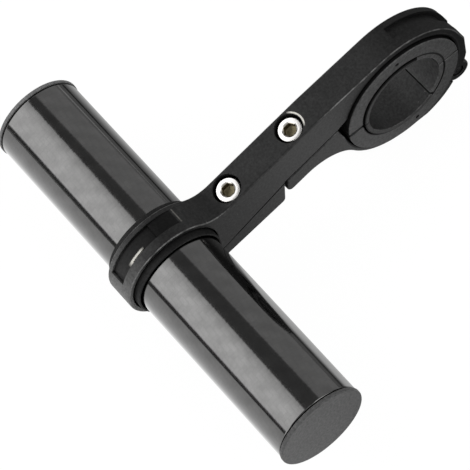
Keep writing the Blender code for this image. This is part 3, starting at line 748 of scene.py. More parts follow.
jaw = plate("jaw_moulding", jaw_outline(), -HALF_WIDTH, HALF_WIDTH, ARM_RIM)
shank_room = [(SCREW_BOTTOM, 0.0), (SCREW_BOTTOM, CLEARANCE_HOLE),
              (BEAM_BOTTOM + 1 * MM, CLEARANCE_HOLE), (BEAM_BOTTOM + 1 * MM, 0.0)]
carve(jaw, [
    flared_bore(CLAMP_BORE, CLAMP_AXIS),
    rod(EAR_ROOM, -PAST, CHANNEL_X[0] + GAP, PIN),
    rod(EAR_ROOM, CHANNEL_X[1] - GAP, PAST, PIN),
    rod(PIN_HOLE, -PAST, PAST, PIN),
    turned("cutter", shank_room, (CLAMP_SCREW_Y, 0.0), 64, upright=True),
    nut_pocket_cutter(CLAMP_SCREW_Y),
])
settle(jaw)

# %% [markdown]
# ## Half shells and liners
# Two outer half shells fill the clamp, and two thinner liners inside them bring it down
# to the handlebar. Each shell has a thicker key at one end that reaches in to the bar
# and stops the liner from creeping round. They are plates too, a little wider than the
# arm. Where the outer shells meet, the photo shows a wider gap at the left than at the
# right. The lower shell has a shallow hollow where it would meet the hinge's ears.

# %% Make the shells and liners
SHELL_OUTER = CLAMP_BORE - GAP
LINER_OUTER = SHELL_BORE - GAP
RIGHT_PARTING, LEFT_PARTING = -10.2, 164.3
UPPER_KEY, LOWER_KEY = 49.8, 296.8
UPPER_PIP, LOWER_PIP = 77.8, 265.8
PIP_RADIUS, PIP_DEPTH, STEP_DEPTH = 0.55 * MM, 0.4 * MM, 1.2 * MM
SHELL_HALF = HALF_WIDTH + 0.8 * MM
LINER_HALF = HALF_WIDTH + 1.16 * MM
RIGHT_SEAM = math.degrees(0.42 * MM / SHELL_BORE)
LEFT_SEAM = math.degrees(1.0 * MM / SHELL_BORE)
LINER_SEAM = math.degrees(GAP / BAR_BORE)


def pip_cutter(angle):
    """Shallow round dimple that a mould's ejector pin leaves in the end face."""
    return rod(PIP_RADIUS, SHELL_HALF - PIP_DEPTH, SHELL_HALF + 1 * MM,
               polar((SHELL_OUTER + SHELL_BORE) / 2, angle)[0], 24)


def half_shell(name, start, end, key, end_bore, start_bore):
    """Outside from start to end, then back along one bore as far as the key's edge and
    along the other bore from there."""
    outline = np.concatenate([arc(SHELL_OUTER, start, end), arc(end_bore, end, key),
                              arc(start_bore, key, start)])
    return plate(name, outline, -SHELL_HALF, SHELL_HALF, SHELL_RIM)


def liner(name, start, end):
    outline = ring_part(BAR_BORE, LINER_OUTER, start, end)
    return plate(name, outline, -LINER_HALF, LINER_HALF, SHELL_RIM)


upper_shell = half_shell("upper_half_shell", RIGHT_PARTING, LEFT_PARTING, UPPER_KEY,
                         SHELL_BORE, BAR_BORE)
lower_shell = half_shell("lower_half_shell", LEFT_PARTING + LEFT_SEAM,
                         RIGHT_PARTING + 360 - RIGHT_SEAM, LOWER_KEY, BAR_BORE, SHELL_BORE)
carve(upper_shell, [pip_cutter(UPPER_PIP)])
carve(lower_shell, [
    pip_cutter(LOWER_PIP),
    band(LINER_OUTER, SHELL_BORE, LOWER_KEY - 1, RIGHT_PARTING + 361, SHELL_HALF - STEP_DEPTH,
         SHELL_HALF + 1 * MM),
    rod(EAR_ROOM, -HALF_WIDTH - GAP, HALF_WIDTH + GAP, PIN),
])
upper_liner = liner("upper_liner", UPPER_KEY + LINER_SEAM, LEFT_PARTING)
lower_liner = liner("lower_liner", LEFT_PARTING + LINER_SEAM, LOWER_KEY - LINER_SEAM)
for piece in (upper_shell, lower_shell, upper_liner, lower_liner):
    settle(piece)

# %% [markdown]
# ## Sleeve in the small ring
# A thin split band of matt plastic keeps the ring from marking the tube. It stands a
# little proud on both sides, where it shows as a black border round the tube.

# %% Make the sleeve
SLEEVE_INNER, SLEEVE_OUTER = TUBE_RADIUS + GAP, TUBE_RADIUS + 0.8 * MM
SLEEVE_HALF = HALF_WIDTH + 1.7 * MM
split_low = BEAM_BOTTOM - TUBE_AXIS[1] - SMALL_BORE * math.tan(SLIT_SLOPE)
split = bearing((0.0, 0.0), (SMALL_BORE / 2, split_low))
half_split = math.degrees(GAP / SLEEVE_OUTER)
sleeve_outline = ring_part(SLEEVE_INNER, SLEEVE_OUTER, split + half_split,
                           split + 360 - half_split, TUBE_AXIS)
sleeve = plate("ring_sleeve", sleeve_outline, -SLEEVE_HALF, SLEEVE_HALF, 0.15 * MM)
carve(sleeve, [band(SLEEVE_INNER - 1 * MM, SMALL_BORE, *WINDOW, *WINDOW_X, TUBE_AXIS)])
settle(sleeve)

# %% [markdown]
# ## Tube and end plugs
# The tube is rolled from carbon cloth and clear-coated, so it is truly round and its
# polish hides the cloth's relief. Its UV map counts tows: one unit along and one unit
# round are each one tow, and the count round the tube is a multiple of four, so that
# the twill closes on itself with no seam.

# %% Turn the tube and map its cloth
OVERALL, TUBE_WALL = 106.2 * MM, 1.5 * MM
FLANGE_THICKNESS, SPIGOT_WALL = 1.0 * MM, 1.4 * MM
CAP_FACE = OVERALL / 2
CAP_BACK = CAP_FACE - FLANGE_THICKNESS
TUBE_END = CAP_BACK - GAP
TUBE_INNER = TUBE_RADIUS - TUBE_WALL
TOWS_ROUND = 56
TOW = 2 * math.pi * TUBE_RADIUS / TOWS_ROUND
soft_end = eased([(-TUBE_END, TUBE_INNER), (-TUBE_END, TUBE_RADIUS), (TUBE_END, TUBE_RADIUS),
                  (TUBE_END, TUBE_INNER)], 0.3 * MM, 4, closed=True)
tube = turned("carbon_tube_wall", soft_end + (TUBE_SHIFT, 0.0), TUBE_AXIS, 4 * TOWS_ROUND,
              wrap=True)


def map_cloth(made):
    """UV of each corner: X over the tow width, and the angle round the tube in tows. A
    face that crosses the start of the count is carried past it instead of back."""
    mesh = made.data
    x, y, z = spots(made).T
    tows = np.arctan2(z - TUBE_AXIS[1], y - TUBE_AXIS[0]) / (2 * math.pi) * TOWS_ROUND
    index = np.empty(len(mesh.loops), np.int32)
    mesh.loops.foreach_get("vertex_index", index)
    around = tows[index].reshape(-1, 4)
    around = around + TOWS_ROUND * (around < around.max(1, keepdims=True) - TOWS_ROUND / 2)
    uv = np.stack([x[index] / TOW, around.reshape(-1)], -1)
    layer = mesh.uv_layers.new(name="cloth")
    layer.data.foreach_set("uv", uv.reshape(-1).astype(np.float32))
    return uv


cloth = map_cloth(tube)
settle(tube)
print("tow width", round(TOW / MM, 2), "mm,", round(np.ptp(cloth[:, 0])), "tows long")

# %% [markdown]
# Each end plug is a thin flange over the tube's cut end and a hollow spigot inside it,
# with three barbs that grip the wall. Only the flange shows, but the barbs are there
# when the plug is looked at on its own.

# %% Turn the end plugs
FLANGE = TUBE_RADIUS + 0.24 * MM
SPIGOT_LENGTH, BARBS = 9.0 * MM, 3


def end_plug(name, side):
    """Profile of flange, barbs and hollow inside; side is 1 for the right plug and -1 for
    the left one."""
    spigot, root = TUBE_INNER - GAP, TUBE_INNER - 0.8 * MM
    rim = eased([(CAP_FACE, 0.0), (CAP_FACE, FLANGE - 0.25 * MM), (CAP_FACE - 0.25 * MM, FLANGE),
                 (CAP_BACK, FLANGE), (CAP_BACK, root)], 0.22 * MM)
    pitch = SPIGOT_LENGTH / (BARBS + 1)
    crest = CAP_BACK - pitch * (np.arange(BARBS) + 0.75)
    barbs = np.stack([np.stack([crest, crest, crest - pitch / 2], 1),
                      np.broadcast_to([root, spigot, root], (BARBS, 3))], -1).reshape(-1, 2)
    end = CAP_BACK - SPIGOT_LENGTH
    hollow, hollow_end = root - SPIGOT_WALL, CAP_BACK - FLANGE_THICKNESS
    inside = [(end, root), (end, hollow), (hollow_end, hollow), (hollow_end, 0.0)]
    profile = np.concatenate([rim, barbs, inside]) * (side, 1.0) + (TUBE_SHIFT, 0.0)
    return settle(turned(name, profile, TUBE_AXIS, 192))


right_plug = end_plug("right_end_plug", 1)
left_plug = end_plug("left_end_plug", -1)
print("plug flange", round(2 * FLANGE / MM, 2), "mm across")

# %% [markdown]
# ## Screws, nuts and hinge pin
# The socket screws are bright steel. One array of rings draws a whole screw: the head's
# soft edge, the six-sided socket with its drill point, and a shank whose radius follows
# a helix. The thread's height is a triangle wave of the height over the pitch less the
# angle over a full turn, and it fades out at the point.

# %% Form the screws
HEAD_RADIUS, SHANK_RADIUS = 3.05 * MM, 1.75 * MM
SOCKET_FLATS, SOCKET_DEPTH = 2.9 * MM, 1.9 * MM
PITCH, THREAD_DEPTH = 0.6 * MM, 0.28 * MM
HEAD_SOFT, PLAIN_SHANK, FADE_IN, FADE_OUT = 0.35 * MM, 1.2 * MM, 0.8 * MM, 0.6 * MM


def socket_screw(name, y, columns=96):
    """Rings (height, circle radius, hexagon flats, hexagon share), then a threaded shank
    where radius = shank - depth * fade * |2 * fraction(height / pitch - turn) - 1|."""
    theta = angles_round(columns)
    corner = SOCKET_FLATS / 2 / math.cos(math.pi / 6)
    floor = HEAD_TOP - SOCKET_DEPTH
    socket = [(floor - 0.5 * MM, 0.0, SOCKET_FLATS, 0.0), (floor, 0.0, SOCKET_FLATS, 1.0),
              (HEAD_TOP - 0.28 * MM, 0.0, SOCKET_FLATS, 1.0),
              (HEAD_TOP - 0.04 * MM, corner + 0.16 * MM, SOCKET_FLATS, 0.0),
              (HEAD_TOP, corner + 0.22 * MM, SOCKET_FLATS, 0.0)]
    turn = np.linspace(0, math.pi / 2, 7)
    rim = np.stack([HEAD_TOP - HEAD_SOFT * (1 - np.cos(turn)),
                    HEAD_RADIUS - HEAD_SOFT * (1 - np.sin(turn)), 0 * turn, 0 * turn], 1)
    under = [(HEAD_UNDERSIDE + 0.1 * MM, HEAD_RADIUS, 0, 0),
             (HEAD_UNDERSIDE, HEAD_RADIUS - 0.1 * MM, 0, 0),
             (HEAD_UNDERSIDE, SHANK_RADIUS, 0, 0)]
    rings = np.concatenate([socket, rim, under])
    height, circle, flats, share = (column[:, None] for column in rings.T)
    head = circle * (1 - share) + hexagon_radius(flats, theta) * share
    rows = int((HEAD_UNDERSIDE - SCREW_TIP) / PITCH * 8)
    z = np.linspace(HEAD_UNDERSIDE - 0.05 * MM, SCREW_TIP, rows)[:, None]
    wave = np.abs(2 * ((z / PITCH - theta[None] / (2 * math.pi)) % 1.0) - 1)
    start = np.clip((HEAD_UNDERSIDE - PLAIN_SHANK - z) / FADE_IN, 0, 1)
    tip = np.clip((z - SCREW_TIP) / FADE_OUT, 0, 1)
    shank = SHANK_RADIUS - THREAD_DEPTH * start * wave
    shank = np.minimum(shank, SHANK_RADIUS - 0.5 * MM * (1 - tip))
    radius = np.concatenate([head, shank, np.zeros((1, columns))])
    along = np.concatenate([height[:, 0], z[:, 0], [SCREW_TIP]])
    made = ring_object(name, along, radius, (y, 0.0), upright=True)
    x, across, z = spots(made).T
    out = np.hypot(x, across - y)
    in_head = (z < HEAD_TOP - 0.1 * MM) & (z > HEAD_UNDERSIDE)
    mark(made, "recess", (out < corner + 0.08 * MM) & in_head)
    return settle(made, 28)


tube_screw = socket_screw("tube_clamp_socket_screw", TUBE_SCREW_Y)
bar_screw = socket_screw("handlebar_clamp_socket_screw", CLAMP_SCREW_Y)

# %% [markdown]
# A nut is a hexagon cut by two cones. At each angle the outside is the smaller of the
# hexagon's side and the cone's radius, which gives the curved chamfer of a real nut.

# %% Form the nuts and the pin
NUT_FLATS, NUT_FACE, NUT_MOUTH = 6.2 * MM, 2.95 * MM, 0.25 * MM
PIN_RADIUS = 1.4 * MM


def hexagon_nut(name, y, columns=96):
    """Outside = the smaller of the hexagon and a cone that starts at the face's radius and
    widens by the distance from the nearer end over tan(30 degrees)."""
    z = np.array([0.0, 0.05, 0.15, 0.3, 0.5, 0.75, 1.3]) * MM
    z = np.concatenate([z, NUT_HEIGHT - z[:-1][::-1]])
    cone = NUT_FACE + np.minimum(z, NUT_HEIGHT - z) / math.tan(math.radians(30))
    outside = np.minimum(hexagon_radius(NUT_FLATS, angles_round(columns))[None], cone[:, None])
    hole = np.full((4, columns), CLEARANCE_HOLE)
    hole[[0, -1]] += NUT_MOUTH
    radius = np.concatenate([outside, hole])
    along = np.concatenate([z, [NUT_HEIGHT, NUT_HEIGHT - NUT_MOUTH, NUT_MOUTH, 0.0]]) + NUT_BOTTOM
    return settle(ring_object(name, along, radius, (y, 0.0), upright=True, wrap=True), 28)


tube_nut = hexagon_nut("tube_clamp_hex_nut", TUBE_SCREW_Y)
bar_nut = hexagon_nut("handlebar_clamp_hex_nut", CLAMP_SCREW_Y)
pin_end = HALF_WIDTH - GAP
half_pin = eased([(pin_end - 0.35 * MM, 0.0), (pin_end, PIN_RADIUS / 2), (pin_end, PIN_RADIUS),
                  (0.0, PIN_RADIUS)], 0.3 * MM)
pin = turned("hinge_pin_steel", np.concatenate([half_pin, half_pin[-2::-1] * (-1, 1)]), PIN, 64)
settle(pin)

# %% [markdown]
# ## Finishes
# Three effects are shared, so each is a node group with named inputs: the spark-eroded
# grain of moulded plastic, the twill of the carbon cloth, and the turning marks of
# steel. A group only gives back what changes over the surface; the shader, with every
# steady number on its own socket, stays in the material.

# %% Node groups and their textures
SOCKET_KINDS = {1: "NodeSocketFloat", 3: "NodeSocketVector", 4: "NodeSocketColor"}


def start_group(name, inputs, outputs=("Colour", "Roughness", "Height")):
    """Node group from {input name: starting value} and output names. How many numbers a
    value has says what kind of socket it needs."""
    group = bpy.data.node_groups.new(name, "ShaderNodeTree")
    for label, value in inputs.items():
        kind = SOCKET_KINDS[np.size(value)]
        group.interface.new_socket(label, in_out="INPUT", socket_type=kind).default_value = value
    for label in outputs:
        kind = SOCKET_KINDS[4 if label == "Colour" else 1]
        group.interface.new_socket(label, in_out="OUTPUT", socket_type=kind)
    entry = node(group, "NodeGroupInput")
    return group, {label: Signal(entry.outputs[label]) for label in inputs}


def finish_group(group, **results):
    """Hand each result to the group's output of the same name."""
    node(group, "NodeGroupOutput", results)
    print(group.name, "has", len(group.nodes), "nodes")


def noise(vector, scale, detail=2.0, roughness=0.5):
    look = {"Vector": vector, "Scale": scale, "Detail": detail, "Roughness": roughness}
    return tap(vector.tree, "ShaderNodeTexNoise", look, "Fac")


def stretched(vector, scale):
    return tap(vector.tree, "ShaderNodeMapping", {"Vector": vector, "Scale": scale})


def scaled(colour, level):
    return tap(colour.tree, "ShaderNodeVectorMath", {0: colour, "Scale": level}, operation="SCALE")


def marked(tree, name):
    """A number that the mesh carries on its points."""
    return tap(tree, "ShaderNodeAttribute", (), "Fac", attribute_name=name)


def length(first, second):
    """Root of the sum of the two squares."""
    return calc("SQRT", first * first + second * second)


print("group helpers ready")

# %% [markdown]
# Moulded nylon takes the fine pitted skin of a spark-eroded mould. It is a little
# cloudy where the glass fibre comes near the surface, it shows faint flow lines along
# the way the melt ran, and it picks up specks of dust. All of it is noise over the place
# on the piece, so no picture is needed and nothing repeats.

# %% Group: moulded grain, its skin and dust
grain_group, given = start_group(
    "moulded_grain",
    {"Colour": grey(0.01), "Cloud colour": grey(0.02), "Roughness": 0.5,
     "Grain per metre": 5200.0, "Dust": 0.3, "Side face": 0.004, "Rim highlight": 0.5,
     "Shine": 0.26, "Outer seam": 0.0, "Inner seam": 0.0, "Arm painted light": 0.0},
    ("Colour", "Roughness", "Shine", "Height"))
DUST_COLOUR = (0.30, 0.30, 0.29, 1.0)
ALONG_FLOW = (1.0, 0.08, 1.0)
place = tap(grain_group, "ShaderNodeTexCoord", (), "Object")
x, y, z = axes(place)
clouds = noise(place, 160.0, 4.0, 0.6)
flow = noise(stretched(place, ALONG_FLOW), 1400.0)
skin = noise(place, given["Grain per metre"], 3.0)
specks = node(grain_group, "ShaderNodeTexVoronoi", {"Vector": place, "Scale": 420.0})
near_speck = fade(Signal(specks.outputs["Distance"]), 0.03, 0.07)
lucky = calc("GREATER_THAN", noise(Signal(specks.outputs["Position"]), 37.0), 0.56)
cloudiness = spread(clouds, 0.35, 0.7) * 0.7 + spread(flow, 0.45, 0.75) * 0.3
tinted = blend(cloudiness, given["Colour"], given["Cloud colour"])
dusty = blend(near_speck * lucky * given["Dust"], tinted, DUST_COLOUR)
mottle = spread(noise(place, 1500.0, 4.0, 0.7), 0.3, 0.7, 0.66, 1.34)
rough = given["Roughness"] + spread(skin, 0.3, 0.7, -0.05, 0.06)
rough = rough + spread(clouds, 0.3, 0.7, -0.03, 0.03)
print("grain", len(grain_group.nodes), "nodes so far")

# %% [markdown]
# In narrow gaps little light comes in, so an occlusion value paints shade into both colour
# and shine. The parting lines between arm, shells and liners are narrower than it can
# resolve: painted shade darkens them as thin bands round the clamp's axis, whose radii the
# material gives. The proud side of a shell is spared. The floor of the small channel is
# marked on the mesh, and gets painted shade too.

# %% Painted shade in gaps and parting lines
OUTER_SEAM_HALF, INNER_SEAM_HALF, SEAM_SOFT = 0.28 * MM, 0.16 * MM, 0.18 * MM
SEAM_SHADE_LEVEL, CORNER_SHADE_LEVEL, RECESS_SHADE_LEVEL = 0.14, 0.20, 0.32
PROUD_FROM, PROUD_TO = HALF_WIDTH + 0.42 * MM, HALF_WIDTH + 0.56 * MM
# painted shade from the occlusion value, darkest in corners
near = tap(grain_group, "ShaderNodeAmbientOcclusion", {"Distance": 1.2 * MM}, "AO", samples=12)
openness = spread(near, 0.22, 0.70, CORNER_SHADE_LEVEL)
from_clamp = length(y, z)
sideways = abs(x)
proud = spread(sideways, PROUD_FROM, PROUD_TO)
# painted shade along each parting line
for seam, half, spared in (("Outer seam", OUTER_SEAM_HALF, proud),
                           ("Inner seam", INNER_SEAM_HALF, 0.0)):
    dark = spread(abs(from_clamp - given[seam]), half, half + SEAM_SOFT, SEAM_SHADE_LEVEL)
    openness = openness * calc("MAXIMUM", dark, spared)
# painted shade on the channel's floor
openness = openness * spread(marked(grain_group, "recess"), 0.0, 1.0, 1.0, RECESS_SHADE_LEVEL)
print("grain", len(grain_group.nodes), "nodes so far")

# %% [markdown]
# The rims get a painted highlight in patches, least at the middle of the beam. A rim is
# the strip just short of the side face, whose place along X the material gives. The arm's
# far end is painted paler as painted light, and past the clamp's crown it is painted darker
# as painted shade.

# %% Painted highlights on the rims, painted light and shade on the arm
PAINTED_LIGHT_COLOUR = (0.17, 0.17, 0.168, 1.0)
RAMP_HIGHLIGHT_COLOUR = (0.75, 0.73, 0.66, 1.0)
BEAM_MIDDLE = -36 * MM
to_face = given["Side face"] - sideways
# painted highlight: the rims are lighter in patches, least at the beam's middle
rim = fade(to_face, 0.14 * MM, 0.28 * MM) * spread(to_face, 0.012 * MM, 0.03 * MM)
patchy = spread(noise(place, 420.0, 3.0, 0.6), 0.38, 0.62, 0.25)
patchy = patchy * spread(abs(y - BEAM_MIDDLE), 13 * MM, 19 * MM, 0.15)
toned = blend(rim * patchy * given["Rim highlight"], dusty, PAINTED_LIGHT_COLOUR)
# painted highlight: the pale line across the channel's ramp
toned = blend(marked(grain_group, "pale"), toned, RAMP_HIGHLIGHT_COLOUR)
# painted light: the arm's far end is paler
far_end = fade(y, -81 * MM, -73 * MM) * given["Arm painted light"]
toned = blend(far_end * 0.55, toned, PAINTED_LIGHT_COLOUR)
# painted shade: the arm is darker past the clamp's crown
past_crown = spread(from_clamp, 17.3 * MM, 17.7 * MM) * spread(y, -7 * MM, 9 * MM)
lit = mottle * openness * (past_crown * given["Arm painted light"] * -0.42 + 1.0)
shaded = scaled(toned, lit)
print("grain", len(grain_group.nodes), "nodes so far")

# %% [markdown]
# Two small painted highlights catch the light on the arm: a stretch of the bevel round the
# clamp screw's seat, and the edge of the window in the small ring. They are masks in the
# arm's own frame; a bevel that narrow would mirror the soft box from a few angles only.

# %% Painted highlights on the arm
GLINT_COLOUR, GLINT_SHARE = (0.78, 0.76, 0.70, 1.0), 0.9
SEAT_RING, SEAT_TURN = 3.80 * MM, math.radians(9)
WINDOW_TURN = math.radians(109)


def arm_place(centre):
    """Y and Z of a point in the arm's frame, counted from a centre: the turn by the tilt."""
    arm_y = y * math.cos(TILT) + z * math.sin(TILT)
    arm_z = z * math.cos(TILT) - y * math.sin(TILT)
    return arm_y - float(centre[0]), arm_z - float(centre[1])


across, above = arm_place((CLAMP_SCREW_Y, BEAM_TOP))
from_screw = length(x, across)
facing = (across * math.cos(SEAT_TURN) - x * math.sin(SEAT_TURN)) / from_screw
seat_glint = (spread(facing, 0.66, 0.86)
              * fade(abs(from_screw - SEAT_RING), 0.12 * MM, 0.26 * MM)
              * fade(abs(above), 0.1 * MM, 0.2 * MM))
out_y, out_z = arm_place(TUBE_AXIS)
off_window = abs(calc("ARCTAN2", out_z, out_y) - WINDOW_TURN)
window_glint = (fade(off_window, math.radians(7), math.radians(13))
                * spread(x, 0.22 * MM, 0.48 * MM)
                * fade(x, 1.43 * MM, 1.46 * MM)
                * fade(length(out_y, out_z), 12.80 * MM, 12.84 * MM))
glint = calc("MAXIMUM", seat_glint, window_glint) * (given["Arm painted light"] * GLINT_SHARE)
finish_group(grain_group, Colour=blend(glint, shaded, GLINT_COLOUR), Roughness=rough,
             Shine=given["Shine"] * lit, Height=skin)

# %% [markdown]
# In a two-by-two twill each tow passes over two others and under the next two, one step
# further along on every row, which draws diagonals. With the UV map counting tows, the
# lengthwise tow is on top where the two whole counts add up to 0 or 1, modulo 4. The
# tow's section is a low arch across its width, and fibres are noise drawn out along it.

# %% Group: twill cloth
twill_group, given = start_group(
    "twill_cloth",
    {"Vector": (0.0, 0.0, 0.0), "Lengthwise": grey(0.13), "Crosswise": grey(0.08),
     "Gap": grey(0.02), "Roughness": 0.2})
FIBRE_LONG, FIBRE_FINE = 1.6, 22.0
along_tow, round_tow, _ = axes(given["Vector"])
step = calc("FLOOR", along_tow) + calc("FLOOR", round_tow)
lengthwise = calc("LESS_THAN", calc("FLOORED_MODULO", step, 4.0), 1.5)


def tow_arch(position):
    """One less the square of the way across the tow, from -1 to 1."""
    across = calc("FRACT", position) * 2.0 - 1.0
    return across * across * -1.0 + 1.0


def fibres(along, around):
    return noise(stretched(given["Vector"], (along, around, 1.0)), 1.0, 3.0, 0.6)


def choose(first, second):
    """The first value where the lengthwise tow is on top, the second elsewhere."""
    values = {0: lengthwise, 2: second, 3: first}
    return tap(twill_group, "ShaderNodeMix", values, data_type="FLOAT")


arch = choose(tow_arch(round_tow), tow_arch(along_tow))
strands = choose(fibres(FIBRE_LONG, FIBRE_FINE), fibres(FIBRE_FINE, FIBRE_LONG))
patches = noise(given["Vector"], 0.35)
tow_colour = blend(lengthwise, given["Crosswise"], given["Lengthwise"])
shade = spread(strands, 0.3, 0.7, 0.86, 1.14) * spread(patches, 0.3, 0.7, 0.88, 1.12)
gap = spread(arch, 0.0, 0.35, 0.55, 0.0)
finish_group(twill_group, Colour=blend(gap, scaled(tow_colour, shade), given["Gap"]),
             Roughness=given["Roughness"] + spread(strands, 0.3, 0.7, -0.04, 0.04),
             Height=strands * 0.12 + arch)

# %% [markdown]
# Steel that was turned on a lathe keeps fine circles about its axis. The distance from
# the axis drives the noise, so the marks are true circles; a second, coarse noise stands
# for handling marks that make the shine uneven. The socket, marked on the mesh, is painted
# darker as painted shade in the hollow, and it is duller.

# %% Group: turning marks
turning_group, given = start_group(
    "turning_marks",
    {"Vector": (0.0, 0.0, 0.0), "Colour": grey(0.7), "Worn colour": grey(0.5),
     "Roughness": 0.2, "Socket shade colour": (0.19, 0.165, 0.105, 1.0)})
x, y, z = axes(given["Vector"])
ring_place = tap(turning_group, "ShaderNodeCombineXYZ", {0: length(x, y), 1: z})
rings = noise(ring_place, 9000.0, 3.0, 0.7)
handled = noise(given["Vector"], 520.0, 4.0, 0.6)
metal = blend(spread(handled, 0.52, 0.72, 0.0, 0.8), given["Colour"], given["Worn colour"])
in_socket = marked(turning_group, "recess")
rough = given["Roughness"] + spread(rings, 0.3, 0.7, -0.05, 0.05)
rough = rough + spread(handled, 0.4, 0.7, 0.0, 0.12) + in_socket * 0.2
# painted shade: the socket is darker
finish_group(turning_group, Colour=blend(in_socket, metal, given["Socket shade colour"]),
             Roughness=rough, Height=rings)

# %% [markdown]
# ## Materials
# Each material is one Principled shader fed by one group. Plastics differ by colour,
# grain and sheen. The sheen is a satin coat, because the coat's weight may change over
# the surface, and so the painted shade in the gaps dims it together with the colour. The
# carbon has a dark metallic cloth under a clear coat, which gives the crisp stripes of the
# studio over the softer sheen of the tows.

# %% Materials from the groups
def start_material(name, group, values, bump, distance, **steady):
    """Principled material: the group's inputs, a bump strength and height, and the
    steady numbers that go on the shader's own sockets."""
    material = bpy.data.materials.new(name)
    material.use_nodes = True
    tree = material.node_tree
    effect = node(tree, "ShaderNodeGroup", values, node_tree=group)
    made = {out.name: Signal(out) for out in effect.outputs}
    relief = {"Strength": bump, "Distance": distance, "Height": made["Height"]}
    fed = {"Base Color": made["Colour"], "Roughness": made["Roughness"],
           "Normal": tap(tree, "ShaderNodeBump", relief, "Normal")}
    if "Shine" in made:
        fed["Coat Weight"] = made["Shine"]
    shader = tree.nodes["Principled BSDF"]
    for label, value in (fed | steady).items():
        feed(shader.inputs[label.replace("_", " ")], value)
    return material, effect


def moulded(name, level, cloud, roughness, grain, dust, shine, side, rim_highlight, arm_painted_light=0.0):
    """Moulded plastic; side is the place of the side face along X and the two radii of the
    seams that get painted shade on it; arm_painted_light turns on the arm's painted light
    and shade."""
    side_face, seams = side
    values = {"Colour": grey(level), "Cloud colour": grey(cloud), "Roughness": roughness,
              "Grain per metre": grain, "Dust": dust, "Side face": side_face,
              "Rim highlight": rim_highlight, "Shine": shine, "Outer seam": seams[0],
              "Inner seam": seams[1], "Arm painted light": arm_painted_light}
    return start_material(name, grain_group, values, 0.35, 0.02 * MM, Specular_IOR_Level=0.08,
                          Coat_Roughness=roughness, Coat_IOR=1.5)[0]


ARM_SIDE = (HALF_WIDTH, (CLAMP_BORE + 0.15 * MM, 0.0))
SHELL_SIDE = (SHELL_HALF, (SHELL_OUTER, SHELL_BORE))
LINER_SIDE = (LINER_HALF, (0.0, LINER_OUTER))
PLAIN_SIDE = (1.0, (0.0, 0.0))
MOULDED = [
    ("arm_glass_nylon", 0.010, 0.018, 0.46, 5200.0, 0.35, 0.36, ARM_SIDE, 0.9, 1.0),
    ("jaw_glass_nylon", 0.010, 0.019, 0.48, 4900.0, 0.30, 0.38, ARM_SIDE, 0.7),
    ("upper_shell_matt_plastic", 0.038, 0.055, 0.58, 6400.0, 0.35, 0.46, SHELL_SIDE, 0.35),
    ("lower_shell_matt_plastic", 0.039, 0.056, 0.59, 6100.0, 0.35, 0.46, SHELL_SIDE, 0.35),
    ("upper_liner_plastic", 0.017, 0.027, 0.52, 5600.0, 0.30, 0.38, LINER_SIDE, 0.4),
    ("lower_liner_plastic", 0.016, 0.025, 0.53, 5400.0, 0.30, 0.38, LINER_SIDE, 0.4),
    ("sleeve_soft_plastic", 0.006, 0.012, 0.60, 7000.0, 0.25, 0.30, PLAIN_SIDE, 0.0),
    ("right_plug_plastic", 0.060, 0.076, 0.50, 4300.0, 0.20, 0.52, PLAIN_SIDE, 0.0),
    # The two end plugs are one plastic; the left one is painted lighter as painted light.
    ("left_plug_plastic", 0.125, 0.155, 0.51, 4500.0, 0.20, 0.52, PLAIN_SIDE, 0.0),
]
plastic = {row[0]: moulded(*row) for row in MOULDED}
print("moulded materials", len(plastic))

# %% The clear-coated cloth
cloth_mat, effect = start_material(
    "clear_coated_carbon", twill_group,
    {"Lengthwise": grey(0.110, 0.01), "Crosswise": grey(0.102, 0.01), "Gap": grey(0.08),
     "Roughness": 0.10},
    0.07, 0.04 * MM, Metallic=1.0, Coat_Weight=1.0, Coat_Roughness=0.02, Coat_IOR=1.5)
tow_count = tap(cloth_mat.node_tree, "ShaderNodeUVMap", (), "UV", uv_map="cloth")
feed(effect.inputs["Vector"], tow_count)
print("cloth material", len(cloth_mat.node_tree.nodes), "nodes")

# %% Steel of the screws, nuts and pin
def steel(name, level, toned, warmth, roughness, centre, axis_x=False):
    """Turned steel; a Mapping node carries the piece's own axis onto the pattern's Z."""
    material, effect = start_material(
        name, turning_group,
        {"Colour": grey(level, warmth), "Worn colour": grey(toned, warmth), "Roughness": roughness},
        0.2, 0.01 * MM, Metallic=1.0)
    tree = material.node_tree
    y, z = centre
    shift = (0.0, y * math.cos(TILT) - z * math.sin(TILT), y * math.sin(TILT) + z * math.cos(TILT))
    turn = (0.0, math.pi / 2, 0.0) if axis_x else (TILT, 0.0, 0.0)
    place = tap(tree, "ShaderNodeTexCoord", (), "Object")
    carried = {"Vector": place, "Location": shift, "Rotation": turn}
    centred = tap(tree, "ShaderNodeMapping", carried, vector_type="TEXTURE")
    feed(effect.inputs["Vector"], centred)
    return material


TUBE_SCREW_AXIS, BAR_SCREW_AXIS = (TUBE_SCREW_Y, 0.0), (CLAMP_SCREW_Y, 0.0)
tube_screw_mat = steel("tube_screw_bright_steel", 0.78, 0.60, 0.02, 0.16, TUBE_SCREW_AXIS)
bar_screw_mat = steel("bar_screw_bright_steel", 0.77, 0.60, 0.02, 0.17, BAR_SCREW_AXIS)
tube_nut_mat = steel("tube_nut_plated_steel", 0.55, 0.40, 0.02, 0.30, TUBE_SCREW_AXIS)
bar_nut_mat = steel("bar_nut_plated_steel", 0.54, 0.40, 0.02, 0.31, BAR_SCREW_AXIS)
pin_mat = steel("pin_blackened_steel", 0.04, 0.08, 0.01, 0.30, PIN, axis_x=True)
print("materials in all", len(bpy.data.materials))

# %% [markdown]
# ## Floor
# A plain white sheet lies just under the lowest point. The camera sees it as white, and
# everything else gets its soft bounced light; a little of its true shading is kept, so
# that the part casts a faint shadow. Mirror-like surfaces see three grey strips of painted
# shade on the sheet, which they show as painted reflections: one under the left side, one
# under the small ring and one under the clamp.

